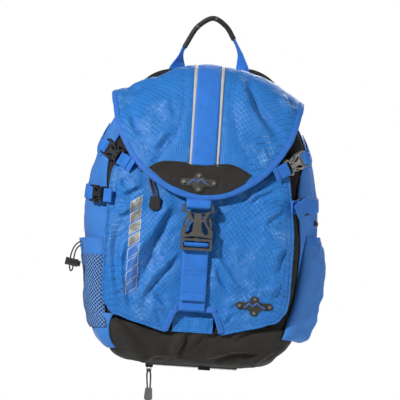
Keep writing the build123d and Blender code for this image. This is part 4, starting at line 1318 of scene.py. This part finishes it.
def shoulder(side, sign):
    """A shoulder strap's pad with its bindings and webbing."""
    path_y = curve([112, 135, 190, 250, 300, 332], [75, 81, 85, 88, 88, 86])
    middle = curve([108, 160, 230, 290, 334], [62, 64, 76, 88, 90])
    u = np.linspace(-1, 1, 44)[None]
    depth = np.linspace(112.5, 331.5, 150)[:, None]
    end = np.minimum((depth - 112.5) / 7, (331.5 - depth) / 9)
    trim = np.sqrt(np.clip(1 - (1 - np.clip(end, 0, 1)) ** 2, 0.02, 1))
    x = middle(depth) + u * 29 * (0.8 + 0.2 * trim)
    rim = (1 - np.abs(u) ** 6) ** 0.5 * trim
    thick = 4.2 * (0.2 + 0.8 * rim)
    back, face = [points(x, path_y(depth) + way * thick, -depth) for way in (1, -1)]
    grid = np.concatenate([back, face[::-1]], axis=0)
    name = f"{side}_shoulder_strap"
    obj = sheet(f"{side}_shoulder_pad", mirrored(grid, sign), (sign * 75, 84, -220), 0, "padding",
                name, [name])
    line = points(middle(depth), path_y(depth), -depth)[:, 0]
    for way, tag in ((1, "outer"), (-1, "inner")):
        edge = mirrored(line + np.array([way * 28.6, 0, 0]), sign)
        tape(f"{side}_strap_{tag}_binding", edge, REARWARD, (3.0, 5.0, 0.6), "black_webbing", name)
    run = mirrored(line + np.array([0, 4.9, 0]), sign)
    tape(f"{side}_daisy_tape", run[8:-6], REARWARD, (20, 1.2), "black_webbing", name)
    chest = [(62, 90.2, -195), (50, 91.0, -195), (38, 90.6, -195), (28, 89.6, -195)]
    tape(f"{side}_chest_webbing", smooth_path(mirrored(chest, sign), 30), REARWARD, (19, 1.3),
         "black_webbing", name, [f"{side}_shoulder_webbing"])
    lower_webbing(side, sign)


def lower_webbing(side, sign):
    """The webbing from the ladder lock to the pack's lower corner."""
    over = corner(f"{side}_hip_wing", 1)[1] + 3.2
    route = [(90, 84.5, -334), (90, 83.6, -352), (93, max(82, over), -375),
             (102, max(80, over), -408), (112, over, -438), (117, over - 1, -453),
             (119, over - 7, -461), (119, 65.2, -464)]
    path = smooth_path(mirrored(route, sign), 90)
    obj = sweep(f"{side}_lower_webbing", path, REARWARD, flat_section(19, 1.2), "black_webbing")
    metres(path[-1])
    metres(path[18])
    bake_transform(obj)
    tail = [(90, 88.6, -338), (90, 89.4, -350), (90, 88.8, -368), (90, 88.2, -387)]
    tape(f"{side}_webbing_tail", smooth_path(mirrored(tail, sign), 40), REARWARD, (19, 1.2),
         "black_webbing", f"{side}_shoulder_strap")
    x, z = np.linspace(106, 130, 10)[None], np.linspace(-456, -474, 10)[:, None]
    sheet(f"{side}_anchor_patch", mirrored(points(x, 64.2, z), sign), (0, 0, -440), 1.0,
          "black_fabric")


def hip(side, sign):
    """A hip wing's pad and the webbing to its buckle."""
    y0, y1 = corner(f"{side}_hip_wing", 0)[1], corner(f"{side}_hip_wing", 1)[1]
    inner, outer = 28.0, 128.0
    columns, rows = 110, 50
    x = np.linspace(inner, outer, columns)[None]
    v = np.linspace(-1, 1, rows)[:, None]
    half = 9 + 18 * step(x, inner - 14, outer - 10)
    end = np.sqrt(np.clip(1 - (1 - np.clip((x - inner) / 10, 0, 1)) ** 2, 0.03, 1))
    z = -424.5 + v * half * (0.55 + 0.45 * end)
    rim = (1 - np.abs(v) ** 6) ** 0.5 * end
    middle, thick = (y0 + y1) / 2, (y1 - y0) / 2 * (0.2 + 0.8 * rim)
    back, face = [points(x, middle + way * thick, z) for way in (1, -1)]
    grid = np.concatenate([back, face[::-1]], axis=0)
    name = f"{side}_hip_wing"
    obj = sheet(f"{side}_hip_pad", mirrored(grid, sign), (sign * 80, middle, -424), 0, "padding",
                name, [name])
    belt = [(122, y1 + 0.7, -424), (90, y1 + 1.0, -424), (60, y1 + 1.2, -424),
            (44, y1 + 2.4, -424), (39.5, y1 + 4.4, -424), (36.5, y1 + 6.2, -424),
            (41, y1 + 7.6, -424), (52, y1 + 4.6, -424)]
    path = smooth_path(mirrored(belt, sign), 90)
    ups = np.cross(np.gradient(path, axis=0), (0, 0, 1.0))
    tape(f"{side}_waist_webbing", path, ups, (24, 1.3), "black_webbing", name,
         [f"{side}_hip_webbing"])


def carrying():
    """The padded back, the yoke, the shoulder straps and the hip wings."""
    x0 = curve([-1, -0.55, -0.05, 0.7, 1], [-124, -138, -143, -132, -100])
    x1 = curve([-1, -0.55, -0.05, 0.7, 1], [124, 138, 143, 132, 100])
    pad("back_cloth", (x0, x1), (-455.5, -108), (60.1, 63.2), ["back_panel"])
    for name, (cx, cz, w, h) in (("left_back_pad", (-42, -270, 50, 220)),
                                 ("right_back_pad", (42, -270, 50, 220)),
                                 ("lumbar_pad", (0, -426, 190, 56))):
        obj = pad(name, (straight(cx - w / 2), straight(cx + w / 2)), (cz - h / 2, cz + h / 2),
                  (63.0, 75.4), ["back_pads"] if name == "lumbar_pad" else [], 5 if h > 100 else 0)
    u = np.linspace(-70, 70, 80)[None]
    v = np.linspace(0, 1, 18)[:, None]
    yoke = points(u, 70.2 - 2.2 * np.abs(2 * v - 1) ** 3, -107.5 - 15 * v)
    sheet("yoke", yoke, (0, 40, -115), 3.0, "black_fabric")
    for side, sign in SIDES:
        shoulder(side, sign)
        hip(side, sign)


# ---------------------------------------------------------------- base zip and small cloth parts
def small_parts():
    x = np.linspace(-67, 67, 100)
    y = np.linspace(-26.5, -13.5, 9)[:, None]
    z = corner("base_zip", 0)[2]
    sheet("base_zip_tape", points(x[None], y, z), (0, -20, -480), 4.5, "black_webbing",
          replaces=["base_zip"])
    stitches("base_zip_coil", points(x, -20.0, z - 0.4), (0, 0, -1.0), "pack",
             "thread_black", 1.7, 1.1, 1.1, 0.5)
    tab = smooth_path([(19, -26, -500), (19, -27, -505), (19, -27.5, -510)], 12)
    tape("base_tab", tab, FORWARD, (17, 1.4), "black_webbing")
    for side, sign in SIDES:
        low = 7 if side == "left" else 0
        edge = [(56, 62, -73 - low), (66, 62, -75 - low), (80, 61.5, -81 - low), (92, 60.5, -90 - low)]
        tape(f"{side}_rear_binding", smooth_path(mirrored(edge, sign), 24), REARWARD, (11, 2.6),
             "black_fabric")


# ---------------------------------------------------------------- CAD pieces that show as they are
def hardware():
    """The CAD pieces' finishes, with their edges eased."""
    slots = {p["node"]: p["material_slot"] for p in frame["record"]["subparts"]}
    for name, obj in frame["nodes"].items():
        if obj.hide_render:
            continue
        slot = slots[name]
        obj.data.materials.clear()
        obj.data.materials.append(MAT[slot])
        bevel = obj.modifiers.new("edges", "BEVEL")
        bevel.width = 0.00035
        bevel.segments = 2
        bevel.limit_method = "ANGLE"
        bevel.angle_limit = radians(40)


def badge_marks():
    """A plain peak pressed into each badge plate."""
    t, run = np.linspace(0, 1, 60), np.linspace(0, 1, 6)
    x = np.interp(t, run, [-15, -7.5, -2.5, 3, 8, 15])
    z = np.interp(t, run, [-3.5, 3.4, -0.8, 4.6, -0.2, -3.5])
    for node, body in (("flap_badge", "flap"), ("panel_badge", "pack")):
        middle_x, _, middle_z = centre(node)
        place = (x + middle_x, z + middle_z)
        p, n = on_flap(*place, 2.1) if body == "flap" else on_panel(*place, 1.45, False)
        tape(f"{node}_peak", p, n, (1.5, 0.5, 0.1), "blue_print", body)


body()
flap()
front_panel()
front_strap()
compression()
side_pockets()
haul_loop()
carrying()
small_parts()
badge_marks()
hardware()

bpy.context.view_layer.update()
